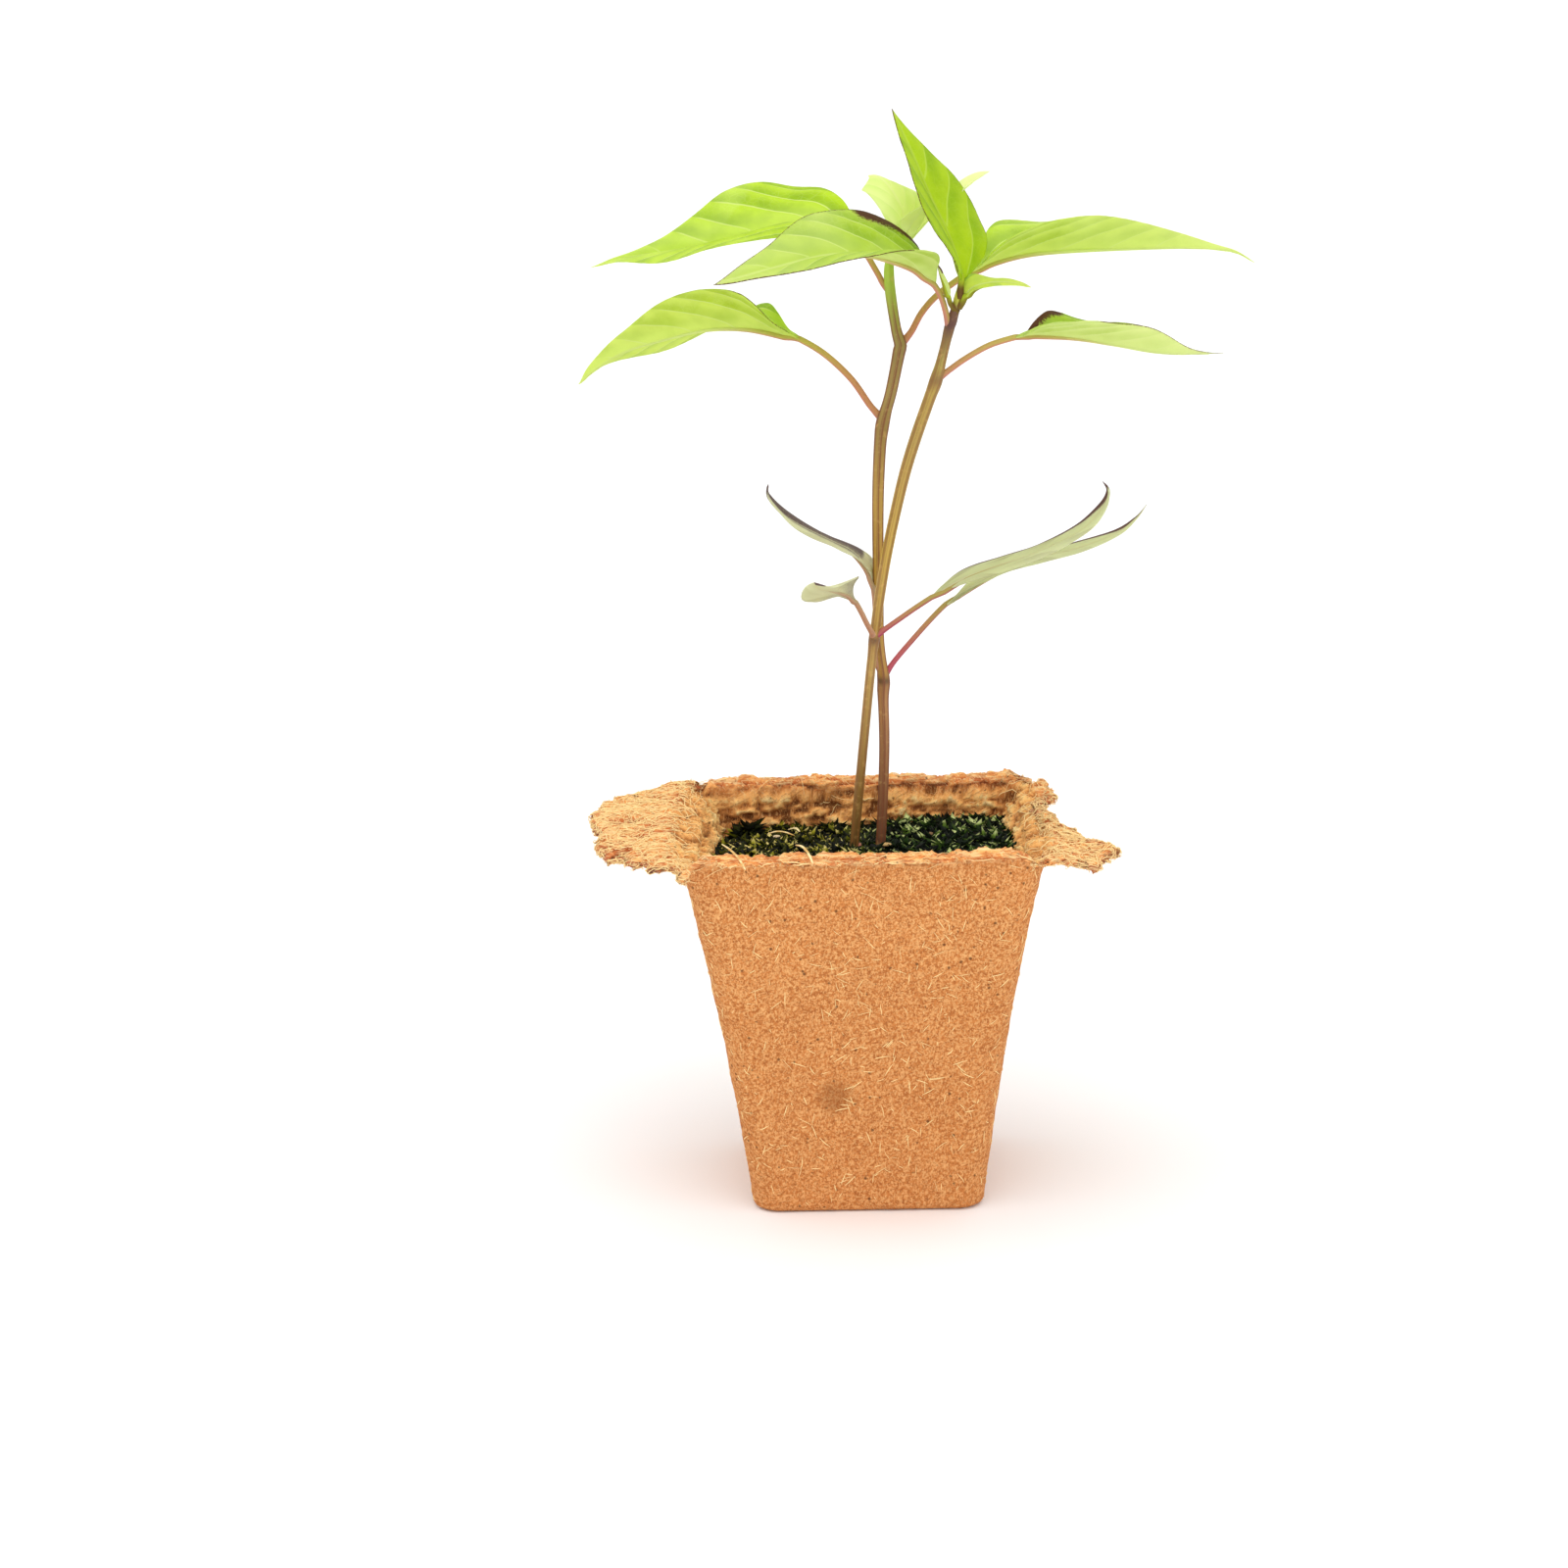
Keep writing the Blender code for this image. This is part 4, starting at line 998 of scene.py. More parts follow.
def stemMaterial(name, stem):
    skin = Finish(name)
    place = skin.add("TexCoord", "Object")
    height = skin.add("SeparateXYZ", 2, inputs={0: place})
    low, high = stem["tones"][0][0] * mm, stem["tones"][-1][0] * mm
    share = skin.add("MapRange", inputs={"Value": height, "From Min": low, "From Max": high})
    tone = skin.ramp(share, stem["tones"])
    turn = skin.layer("turn")
    drawn = skin.add("CombineXYZ", inputs={        # the streaks run up the stem
        0: skin.maths("MULTIPLY", skin.maths("COSINE", turn), stemShape["streakRound"]),
        1: skin.maths("MULTIPLY", skin.maths("SINE", turn), stemShape["streakRound"]),
        2: skin.maths("MULTIPLY", height, stemShape["streakUp"]),
    })
    streaks = skin.grain(drawn, 2.2, 3.0, 0.6)
    # darker stripes along the ribs and streaks: partly the stem's own stripes and partly painted shade that
    # stands for its darker edges
    ribs = skin.maths("COSINE", skin.maths("MULTIPLY", turn, stem["ribs"]))
    band = skin.maths("MULTIPLY_ADD", streaks, 1.3, skin.maths("MULTIPLY", ribs, stem["stripe"]))
    fading = skin.fade(height, high - 12 * mm, high - 5 * mm, stem["stripeShadeShare"], 0.0)
    edge = skin.maths("MULTIPLY", skin.fade(band, 0.45, 1.0), fading)
    tone = skin.mix(edge, tone, stem["edge"])
    flecks = skin.grain(place, 800.0, 2.0, 0.6)
    tone = skin.mix(skin.fade(flecks, 0.56, 0.75, 0.0, 0.3), tone, stemShape["fleck"])
    return skin.finish(
        Base_Color=tone, Roughness=0.42, Specular_IOR_Level=0.35, Subsurface_Weight=0.1,
        Subsurface_Scale=0.001, Normal=skin.bump(streaks, 0.25, 0.12),
    )


for key, stem in stems.items():
    stem["line"] = smoothPath(stem["path"], stemShape["rings"])        # the leaves grow from this line
    straight = [point for point in stem["path"] if point[2] < stem["top"][0][2]]
    drawn = smoothPath(straight + list(stem["top"]), stemShape["rings"])
    radii = tableAt(stem["radii"], drawn[:, 2])
    radii = np.convolve(np.pad(radii, 3, mode="edge"), np.ones(7) / 7, mode="valid")
    places, turn = tubePlaces(drawn, radii, stemShape["sides"], stem["ribs"], stemShape["ribHeight"])
    bm = skinSheet(places, {"turn": np.broadcast_to(turn, places.shape[:2])})
    finishPiece(key + "Stem", bm, [stemMaterial(key + "StemSkin", stem)], [stem["node"]])
print("stems made")

# Leaves
# stalk and blade: (out, up) points in the upright plane through the stem that faces heading.
# left, right: width of each half of the blade at the stations, and how many degrees it rises there.
# tint: (side, start, stop, width, strength) of the purple brown along a margin, or beside the midrib
# where the width is below 0.
# pale: (place along the blade, share) of the paler colour, and paleLeft its share on the left half.
# wave: height, number and phase of the waves along the margin.
leafUsual = {
    "stalkRadius": 0.5, "wave": (0.1, 1.5, 0), "tint": (), "pale": ((0, 0.3), (1, 0.6)), "paleLeft": 1.0,
}
leaves = {
    "rearLeaf1": {
        "height": 138.2, "heading": 156, "stalkRadius": 0.55,
        "stalk": ((2.5, 2.5), (6, 7), (11, 11.2), (16, 13.8)),
        "blade": ((19, 14.5), (26.5, 15.5), (34.5, 15), (42.5, 13), (50.5, 10.5), (57, 7), (60.5, 4)),
        "left": (0.4, 7.8, 10, 10.3, 9.9, 8.4, 6.6, 4.1, 2.1, 0.9, 0),
        "leftRise": (17, 23, 35, 46, 50, 51, 54, 57, 60, 61, 61),
        "right": (0.4, 1.1, 3.7, 7.5, 9.7, 10.7, 10.6, 9.3, 7, 3.8, 0),
        "rightRise": (78, 73, 57, 30, 11, -2, -8, -12, -7, 5, 18),
        "wave": (0.4, 2.5, 0.4), "look": "bright", "tint": (("left", 0, 0.25, 0.35, 0.5),),
        "pale": ((0, 0), (0.4, 0.15), (0.75, 0.3), (1, 0.1)),
    },
    "rearLeaf2": {
        "height": 151.3, "heading": 14, "stalkRadius": 0.55,
        "stalk": ((2, 2.2), (4, 5.5), (7, 8.5), (12, 11.7)),
        "blade": ((14, 12.5), (17, 13.8), (23.5, 15), (33, 15.2), (51, 14.7), (59, 14),
                  (62.5, 13.2), (65.5, 11.3)),
        "left": (0.4, 1, 6.1, 10, 11.7, 11.9, 10.5, 7.9, 4.4, 1.6, 0),
        "leftRise": (78, 72, 58, 32, 19, 19, 21, 17, 5, 3, 3),
        "right": (0.4, 7.5, 10.3, 11.3, 10.6, 8.8, 6.3, 3, 1.1, 0.2, 0),
        "rightRise": (13, 17, 27, 32, 36, 45, 52, 61, 64, 67, 67),
        "wave": (0.5, 2.5, 2.2), "look": "bright",
        "pale": ((0, 0.05), (0.3, 0.3), (0.6, 0.6), (1, 0.8)),
    },
    "rearLeaf3": {
        "height": 160.2, "heading": 172,
        "stalk": ((1.5, 1.8), (2.5, 3.7), (5, 7.9), (7, 9.8)),
        "blade": ((9.3, 11.2), (12.8, 12.5), (16.7, 12.7), (24, 11), (34.5, 8.4), (47, 6.6), (53.5, 5)),
        "left": (0.4, 3.6, 6.7, 9.3, 10.8, 11, 9.7, 7.1, 4.1, 1.5, 0),
        "leftRise": (-13, -3, -7, -8, -3, -3, -3, -6, -6, -5, 1),
        "right": (0.4, 5, 7.7, 10.6, 11.7, 9.5, 6.7, 3.4, 1.1, 0.4, 0),
        "rightRise": (34, 35, 39, 31, 42, 54, 57, 67, 72, 74, 77),
        "wave": (0.7, 2.2, 1), "look": "bright",
        "pale": ((0, 0), (0.5, 0.15), (1, 0.3)),
    },
    "rearLeaf4": {
        "height": 166.4, "heading": 140, "stalkRadius": 0.45,
        "stalk": ((0, 1), (-0.2, 2.6)),
        "blade": ((-0.8, 5), (0, 8.5), (2, 11.5), (4.2, 13.5), (6, 14.1), (7.6, 14)),
        "left": (0.4, 1.6, 2.9, 3.7, 4.2, 4.4, 4.5, 4.6, 4.6, 1.3, 0),
        "leftRise": (14, 4, -6, -11, -14, -16, -19, -23, -26, -28, -29),
        "right": (0.4, 1.9, 3.6, 5.4, 6.7, 7, 6, 3.7, 1.1, 0.2, 0),
        "rightRise": (37, 12, -1, -3, -3, -1, -4, -11, -15, 5, 23),
        "look": "young",
        "pale": ((0, 0.6), (1, 0.4)),
    },
    "rearLeaf5": {
        "height": 165.6, "heading": 318, "stalkRadius": 0.4,
        "stalk": ((0.2, 2), (0.4, 3.8)),
        "blade": ((1.2, 5.2), (3.2, 7.6), (6.4, 10.8)),
        "left": (0.4, 0.9, 1.2, 1.5, 1.7, 1.8, 1.6, 1.4, 0.9, 0.4, 0),
        "leftRise": -30,
        "right": (0.4, 1.9, 2.3, 2.4, 2.2, 1.9, 1.5, 1, 0.6, 0.3, 0),
        "rightRise": 38,
        "look": "young",
        "pale": ((0, 0.2), (1, 0.3)),
    },
    "rearLeaf6": {
        "height": 165.0, "heading": 20, "stalkRadius": 0.28,
        "stalk": ((0.6, 2.4), (2, 4.6)),
        "blade": ((5, 7.2), (7.5, 9.6), (11, 12), (14.3, 14), (17.5, 15.6)),
        "left": (0.4, 1, 1, 1.2, 1.7, 2.2, 2.5, 2.3, 2, 1.2, 0),
        "leftRise": (78, 66, 52, 38, 29, 23, 21, 21, 23, 26, 28),
        "right": (0.3, 0.8, 1.2, 1.8, 2.6, 3, 2.8, 1.7, 0.4, 0.1, 0),
        "rightRise": (2, 12, 12, 11, 9, 7, 7, 16, 24, 30, 35),
        "look": "young",
        "pale": ((0, 0.2), (1, 1)),
    },
    "frontLeaf1": {
        "height": 146.1, "heading": 8,
        "stalk": ((2.7, 1.9), (5.5, 3.7), (9.5, 5.7), (14, 6.9)),
        "blade": ((16.5, 7.3), (19, 7.2), (25, 6.5), (32, 5), (39, 3.4), (46, 2.8), (51, 2.7)),
        "left": (0.4, 0.3, 3.4, 6.8, 8.9, 8.9, 6.9, 4.2, 1.2, 0.2, 0),
        "leftRise": (77, 68, 56, 31, 17, 17, 29, 47, 63, 71, 72),
        "right": (0.4, 8.9, 10.9, 11.2, 10.2, 8.5, 6.4, 3.9, 1.2, 0.2, 0),
        "rightRise": (5, 11, 17, 19, 24, 30, 40, 55, 68, 74, 76),
        "wave": (0.3, 2, 0.5), "look": "edged",
        "tint": (("left", 0, 0.28, 2.8, 0.7), ("left", 0.25, 1, 0.25, 0.7), ("right", 0.3, 1, 0.15, 0.5)),
        "pale": ((0, 0.3), (0.5, 0.6), (1, 0.9)), "paleLeft": 0.1,
    },
    "frontLeaf2": {
        "height": 155.2, "heading": 205,
        "stalk": ((0.8, 3.4), (1.6, 5.7), (2.8, 7.6)),
        "blade": ((4.3, 9), (7, 11), (12.5, 13), (16.5, 13.8), (23.5, 14), (33, 12.5), (44, 10.4)),
        "left": (0.4, 2.9, 6.7, 8.7, 9.3, 8.4, 6.1, 3.7, 2, 1, 0),
        "leftRise": (78, 55, 30, 18, 8, -1, -8, -12, -18, -27, -34),
        "right": (0.4, 8.7, 10.9, 11.2, 10.5, 9.1, 7.1, 4.6, 2.7, 1, 0),
        "rightRise": (31, 30, 34, 38, 42, 46, 55, 55, 53, 53, 48),
        "wave": (0.3, 2, 2), "look": "edged",
        "tint": (("right", 0, 0.35, 3.6, 0.85), ("right", 0.3, 1, 0.22, 0.6), ("left", 0.2, 1, 0.15, 0.55)),
        "pale": ((0, 0), (0.5, 0.25), (1, 0.45)),
    },
    "frontLeaf3": {
        "height": 160.3, "heading": 128,
        "stalk": ((-0.2, 2.2), (-0.5, 3.2)),
        "blade": ((-0.3, 4.5), (1.2, 7.8), (4, 12.3), (8, 17.4), (11, 22), (14.7, 27.2), (18, 31.6)),
        "left": (0.4, 6.2, 7.9, 8.6, 8.4, 7.3, 5.8, 3.8, 2.1, 0.8, 0),
        "leftRise": (39, 45, 41, 35, 33, 34, 31, 29, 26, 22, 18),
        "right": (0.4, 3.7, 6.6, 8.5, 9.4, 9.2, 7.7, 5.2, 2.7, 0.9, 0),
        "rightRise": (-10, -8, -5, -4, -7, -5, -5, -9, -9, -10, -10),
        "wave": (0.2, 2, 0), "look": "upright",
        "tint": (("right", 0.2, 1, 0.22, 0.6), ("left", 0, 1, 0.15, 0.5)),
        "pale": ((0, 0), (1, 0.05)),
    },
    "frontLeaf4": {
        "height": 158.8, "heading": -24,
        "stalk": ((0.8, 1.0), (1.3, 1.8)),
        "blade": ((2.6, 3.3), (4.5, 4.1), (7.6, 4.6), (11.2, 4.4), (13.5, 3.8)),
        "left": (0.5, 2.0, 2.9, 2.7, 2.0, 1.6, 2.0, 2.0, 1.4, 0.8, 0),
        "leftRise": (70, 70, 66, 50, 35, 20, 10, 3, -3, -8, -7),
        "right": (0.4, 0.8, 1.2, 1.6, 1.9, 2.0, 1.9, 1.7, 1.3, 0.7, 0),
        "rightRise": (-41, -33, -27, -22, -18, -15, -12, -11, -9, -5, 1),
        "look": "tip", "tint": (("left", 0.7, 1, 0.3, 0.6),),
        "pale": ((0, 0), (1, 0.3)),
    },
    "frontLeaf5": {
        "height": 158, "heading": 215, "stalkRadius": 0.4,
        "stalk": ((1.4, 1.4), (1.9, 2.8)),
        "blade": ((2.6, 4.8), (3.5, 6.8), (4.1, 8.6)),
        "left": (0.3, 0.5, 0.7, 0.8, 0.8, 0.8, 0.7, 0.6, 0.5, 0.2, 0),
        "leftRise": 20,
        "right": (0.3, 0.5, 0.7, 0.8, 0.8, 0.8, 0.7, 0.6, 0.5, 0.2, 0),
        "rightRise": 20,
        "look": "tip", "tint": (("left", 0.7, 1, 0.3, 0.8),),
        "pale": ((0, 0.3), (1, 0)),
    },
    "frontSeedLeafRight": {
        "height": 100.1, "heading": -10, "stalkRadius": 0.45,
        "stalk": ((1.7, 1.3), (4.2, 3.1), (7.3, 5.3), (10.3, 7.3)),
        "blade": ((12.5, 8.7), (16.5, 11), (22.5, 13.4), (29.5, 15.7), (36.5, 19.4), (40.5, 23.5),
                  (41.7, 26.5), (40.7, 28.3)),
        "left": (0.4, 4.3, 5.1, 5.1, 4.8, 4.4, 3.7, 3, 1.9, 0.9, 0),
        "leftRise": (3, 3, 8, 9, 7, 8, 12, 19, 31, 37, 44),
        "right": (0.4, 0.1, 0.8, 1.6, 2.6, 3.6, 4, 4, 3.6, 2.2, 0),
        "rightRise": (-75, -65, -52, -38, -26, -12, -8, -7, -15, -14, -11),
        "look": "seed",
        "tint": (("left", 0.02, 1, 1.3, 0.95), ("left", 0.91, 1, 3, 0.8), ("right", 0.95, 1, 3, 0.9)),
    },
    "frontSeedLeafLeft": {
        "height": 100.1, "heading": 250, "stalkRadius": 0.45,
        "stalk": ((3.6, 3), (6.5, 5.7), (9.4, 8.1)),
        "blade": ((12.8, 10.1), (16.7, 11.4), (20.6, 12.4), (24.4, 13.4), (27.3, 14.2), (29.6, 15.5)),
        "left": (0.4, 0.4, 0.7, 1.7, 3.4, 4.6, 4.7, 4.1, 3.1, 1.9, 0),
        "leftRise": (78, 78, 70, 57, 44, 36, 28, 19, 7, -3, -6),
        "right": (0.4, 1.9, 2.5, 2.8, 3.3, 3.8, 4.2, 4.4, 4, 2.3, 0),
        "rightRise": (14, 9, 0, -15, -24, -30, -31, -32, -30, -17, 0),
        "look": "seedPale",
        "tint": (("left", 0, 0.6, 9, 0.4), ("right", 0, 0.5, 9, 0.34), ("left", 0.93, 1, 1, 0.9)),
    },
    "rearSeedLeafRight": {
        "height": 92, "heading": 16, "stalkRadius": 0.45,
        "stalk": ((2, 2.8), (5.3, 6.3), (9, 10), (11.8, 12.5)),
        "blade": ((14.6, 14.4), (22, 17.8), (29.5, 19.7), (37, 21), (44.3, 23.2), (48, 25.7), (50, 28)),
        "left": (0.4, 0.1, 1.3, 3, 3.6, 3.7, 3.5, 2.5, 1.4, 0.5, 0),
        "leftRise": (14, 17, 19, 14, 6, 4, 7, 9, 9, 8, 7),
        "right": (0.4, 3.6, 4.3, 4.4, 4, 3.4, 2.4, 1.8, 1, 0.3, 0),
        "rightRise": (-6, 7, 10, 9, 5, -2, -7, -11, -13, -17, -18),
        "look": "seed", "tint": (("left", 0.4, 1, 1.2, 0.95),),
    },
    "rearSeedLeafLeft": {
        "height": 92, "heading": 195, "stalkRadius": 0.45,
        "stalk": ((1.3, 3.3), (1.2, 7.3), (1.3, 13), (1.6, 16.5)),
        "blade": ((2.4, 19.7), (5.3, 23.3), (8.8, 25.4), (14, 28.2), (17.6, 30.7),
                  (20.2, 33.9), (20.3, 36.3)),
        "left": (0.4, 0.1, 1, 2.3, 3.3, 3.9, 4.3, 4.4, 3.7, 2.5, 0),
        "leftRise": (43, 21, 1, -11, -14, -11, -13, -12, -9, -14, -35),
        "right": (0.4, 3.7, 4.8, 4.7, 4.1, 3.8, 3.6, 3.3, 2.7, 1.9, 0),
        "rightRise": (37, 21, 26, 17, 7, 7, 12, 17, 17, 14, 1),
        "look": "seedPale",
        "tint": (
            ("right", 0.16, 1, 9, 0.56), ("right", 0, 0.2, 9, 0.34), ("left", 0.2, 1, -3.4, 0.6),
            ("left", 0.94, 1, 4, 0.9),
        ),
    },
}
# the blade's section and quilting, the midrib under it, slant and shift of the side veins, height and
# scale of each noise, and how fine the mesh is, with its rows bunched towards both ends
blade = {
    "stations": (0, 0.05, 0.12, 0.21, 0.32, 0.45, 0.58, 0.71, 0.83, 0.93, 1),
    "thick": 0.3, "marginThin": 0.55, "arch": 0.12, "quilt": 0.34, "groove": 0.2, "grooveWidth": 0.7,
    "foot": 1.35, "footReach": 1.6, "ribEnd": 0.93, "ribSink": (0.75, 0.1),
    "veinLean": 1.7, "veinBend": 0.05, "veinDrift": (1.6, 0.14), "veinShift": 0.45,
    "ripple": (0.22, 0.11), "fineRipple": (0.06, 0.9), "paleDrift": (0.25, 0.12),
    "profilePoints": 400, "cell": 0.38, "rows": (40, 150), "columns": (9, 27), "bunched": 0.45,
    "tubeSides": 14, "tubeRings": (34, 60),
}
# what the materials of all leaves share; veinWidth counts in gaps between side veins, and the other
# widths in millimetres
leafSkin = {
    "veinWidth": (0.055, 0.012), "veinMargin": (0.3, 2.0), "netScale": 0.95, "netWidth": 0.07,
    "netShare": 0.14, "ribWidth": (0.5, 0.1), "ribShare": 0.7, "glowWidth": (6.0, 0.4), "pinkShare": 0.75,
    "ragScale": 2.4, "tintEdge": (0.28, 0.6), "bump": (0.28, 0.12), "passing": (1.0, 1.0, 0.78, 1.0),
}
# top and underside light and dark, where the dark is random mottling and painted shade beside the side
# veins, and the underside is paler of its own and painted lighter against the shade beneath the leaf,
# veins and their strength, stalk from the stem outwards and its lower side, with its own pink and
# painted shade, tint of the margins, distance between side veins, how strongly the leaf is quilted, glow
# beside the midrib, light that comes through, size of the grain along and across, length over which the
# stalk changes its colour, how ragged the tint is, and where and how fast the midrib fades
lookUsual = {
    "gap": 9.0, "relief": 0.6, "glow": 0.2, "veins": 0.6, "through": 0.38, "grain": (0.22, 0.22),
    "stalkReach": 16, "rag": 0.95, "ribFade": 22, "ribTaper": 1.3,
}
looks = {
    "bright": {
        **lookUsual, "top": colour(202, 230, 40), "topDark": colour(162, 198, 4),
        "under": colour(228, 246, 100), "underDark": colour(196, 222, 40), "vein": colour(234, 246, 158),
        "pale": colour(240, 250, 172), "stalk": colour(212, 160, 112), "stalkEnd": colour(206, 204, 96),
        "pink": colour(228, 142, 138), "tint": colour(118, 92, 50), "veins": 0.75, "relief": 1.0, "glow": 0.3,
    },
    "edged": {
        **lookUsual, "top": colour(188, 216, 48), "topDark": colour(156, 192, 10),
        "under": colour(230, 244, 146), "underDark": colour(200, 224, 84), "vein": colour(236, 246, 170),
        "pale": colour(244, 252, 184), "stalk": colour(212, 164, 116), "stalkEnd": colour(212, 200, 110),
        "pink": colour(228, 144, 142), "tint": colour(104, 66, 42), "gap": 8.0, "relief": 0.8,
    },
    # young leaves are paler of their own, and their undersides are painted lighter still, as painted light
    # where they lie in shade
    "young": {
        **lookUsual, "top": colour(236, 250, 172), "topDark": colour(216, 240, 128),
        "under": colour(252, 255, 204), "underDark": colour(238, 250, 168), "vein": colour(252, 255, 224),
        "pale": colour(250, 255, 222), "stalk": colour(206, 226, 110), "stalkEnd": colour(232, 244, 160),
        "pink": colour(226, 226, 140), "tint": colour(196, 150, 96), "gap": 4.5, "relief": 0.3,
        "through": 0.6, "ribFade": 4, "ribTaper": 3,
    },
    "seed": {
        **lookUsual, "top": colour(214, 218, 164), "topDark": colour(180, 178, 116),
        "under": colour(226, 232, 184), "underDark": colour(192, 190, 132), "vein": colour(226, 222, 180),
        "pale": colour(238, 242, 212), "stalk": colour(216, 112, 128), "stalkEnd": colour(196, 180, 102),
        "pink": colour(206, 92, 128), "tint": colour(116, 86, 78), "veins": 0.0, "relief": 0.15, "glow": 0.0,
        "grain": (0.06, 1.1), "rag": 0.25,
    },
}
looks["seedPale"] = {
    **looks["seed"], "top": colour(232, 228, 194), "topDark": colour(204, 196, 156),
    "under": colour(228, 226, 190), "underDark": colour(204, 200, 150), "stalk": colour(222, 176, 140),
    "stalkEnd": colour(206, 182, 142), "pink": colour(222, 168, 138), "tint": colour(118, 96, 92),
}
greenStalk = {
    "stalk": colour(130, 98, 50), "stalkEnd": colour(196, 214, 56), "pink": colour(150, 130, 50),
    "stalkReach": 1.7,
}
looks["tip"] = {
    **looks["edged"], **greenStalk, "top": colour(206, 224, 44), "veins": 0.4, "gap": 4.5, "relief": 0.6,
}
looks["upright"] = {
    **looks["edged"], **greenStalk, "top": colour(186, 214, 22), "topDark": colour(158, 194, 6),
    "vein": colour(206, 228, 96), "gap": 10.5, "veins": 0.7, "relief": 0.6, "glow": 0.0,
}


def leafMaterial(name, look):
    skin = Finish(name)
    along, across, under = skin.layer("along"), skin.layer("across"), skin.layer("under")
    flat = skin.add("CombineXYZ", inputs={0: along, 1: across})
    away = skin.maths("ABSOLUTE", across)

    # body, with painted shade on one side of each side vein where the quilting turns from the light, and
    # random broad mottling
    saw = skin.maths("FRACT", skin.layer("cell"))
    dark = skin.maths("MULTIPLY", skin.fade(saw, 0.1, 0.97, 0.0, 0.9), skin.fade(away, 0.3, 2.5))
    drawn = skin.add("VectorMath", operation="MULTIPLY", inputs={0: flat, 1: (*look["grain"], 1.0)})
    broad = skin.fade(skin.grain(drawn, 1.0, 3.0), 0.35, 0.7)
    shade = skin.maths("ADD", dark, skin.maths("MULTIPLY_ADD", broad, 0.5, -0.2))
    shade = skin.add("Clamp", inputs={0: shade})
    top = skin.mix(shade, look["top"], look["topDark"])
    below = skin.mix(shade, look["under"], look["underDark"])
    body = skin.mix(skin.layer("pale"), skin.mix(under, top, below), look["pale"])

    # side veins, net between them, midrib and its glow
    fromVein = skin.maths("MINIMUM", saw, skin.maths("SUBTRACT", 1.0, saw))
    sideVein = skin.fade(fromVein, *leafSkin["veinWidth"], 0.0, look["veins"])
    sideVein = skin.maths("MULTIPLY", sideVein, skin.fade(skin.layer("edge"), *leafSkin["veinMargin"]))
    mesh = skin.add("TexVoronoi", "Distance", feature="DISTANCE_TO_EDGE", inputs={
        "Vector": flat, "Scale": leafSkin["netScale"], "Randomness": 1.0,
    })
    net = skin.fade(mesh, leafSkin["netWidth"], 0.0, 0.0, leafSkin["netShare"])
    midrib = skin.fade(away, *leafSkin["ribWidth"], 0.0, leafSkin["ribShare"])
    glow = skin.fade(away, *leafSkin["glowWidth"], 0.0, look["glow"])
    veins = skin.maths("MAXIMUM", skin.maths("MAXIMUM", sideVein, midrib), skin.maths("MAXIMUM", net, glow))
    body = skin.mix(veins, body, look["vein"])

    # stalk, and its way on under the blade
    outward = skin.fade(along, -look["stalkReach"], 0.125 * look["stalkReach"])
    stalk = skin.mix(outward, look["stalk"], look["stalkEnd"])
    # the stalk's lower side: its own pink, and painted shade
    stalk = skin.mix(skin.fade(skin.layer("low"), 0.0, 0.75, 0.0, leafSkin["pinkShare"]), stalk, look["pink"])
    stalk = skin.mix(skin.fade(along, 0.09 * look["ribFade"], look["ribFade"]), stalk, look["vein"])
    body = skin.mix(skin.layer("rib"), body, stalk)

    # purple brown margins
    ragged = skin.grain(flat, leafSkin["ragScale"], 3.0, 0.6)
    ragged = skin.maths("MULTIPLY_ADD", ragged, look["rag"], -0.47 * look["rag"])
    ragged = skin.fade(skin.maths("ADD", skin.layer("tint"), ragged), *leafSkin["tintEdge"])
    body = skin.mix(ragged, body, look["tint"])

    surface = skin.maths("ADD", skin.grain(flat, 2.2, 3.0), skin.maths("MULTIPLY", mesh, -0.8))
    skin.finish(
        Base_Color=body, Roughness=0.5, Specular_IOR_Level=0.15,
        Normal=skin.bump(surface, *leafSkin["bump"]),
    )
    passing = skin.mix(1.0, body, leafSkin["passing"], "MULTIPLY")
    through = skin.add("BsdfTranslucent", inputs={"Color": passing})
    both = skin.add("MixShader", inputs={0: look["through"], 1: skin.shader.outputs[0], 2: through})
    skin.tree.links.new(both, skin.output.inputs["Surface"])
    return skin.material


def alongBlade(values, t):
    # the eleven values of a row, or one value for all, smoothly along the blade
    stations = np.array(blade["stations"]) * 40
    path = smoothPath(np.stack([stations, values + 0 * stations], axis=1), 240)
    return np.interp(t, path[:, 0] / 40, path[:, 1])


def nodeOf(name):
    # the leaf rearLeaf1 stands for the node rear_leaf_1
    return re.sub("([A-Z0-9])", r"_\1", name).lower()


def stemAt(stem, height):
    line = stems[stem]["line"]
    return np.array([*(np.interp(height, line[:, 2], line[:, axis]) for axis in (0, 1)), height])


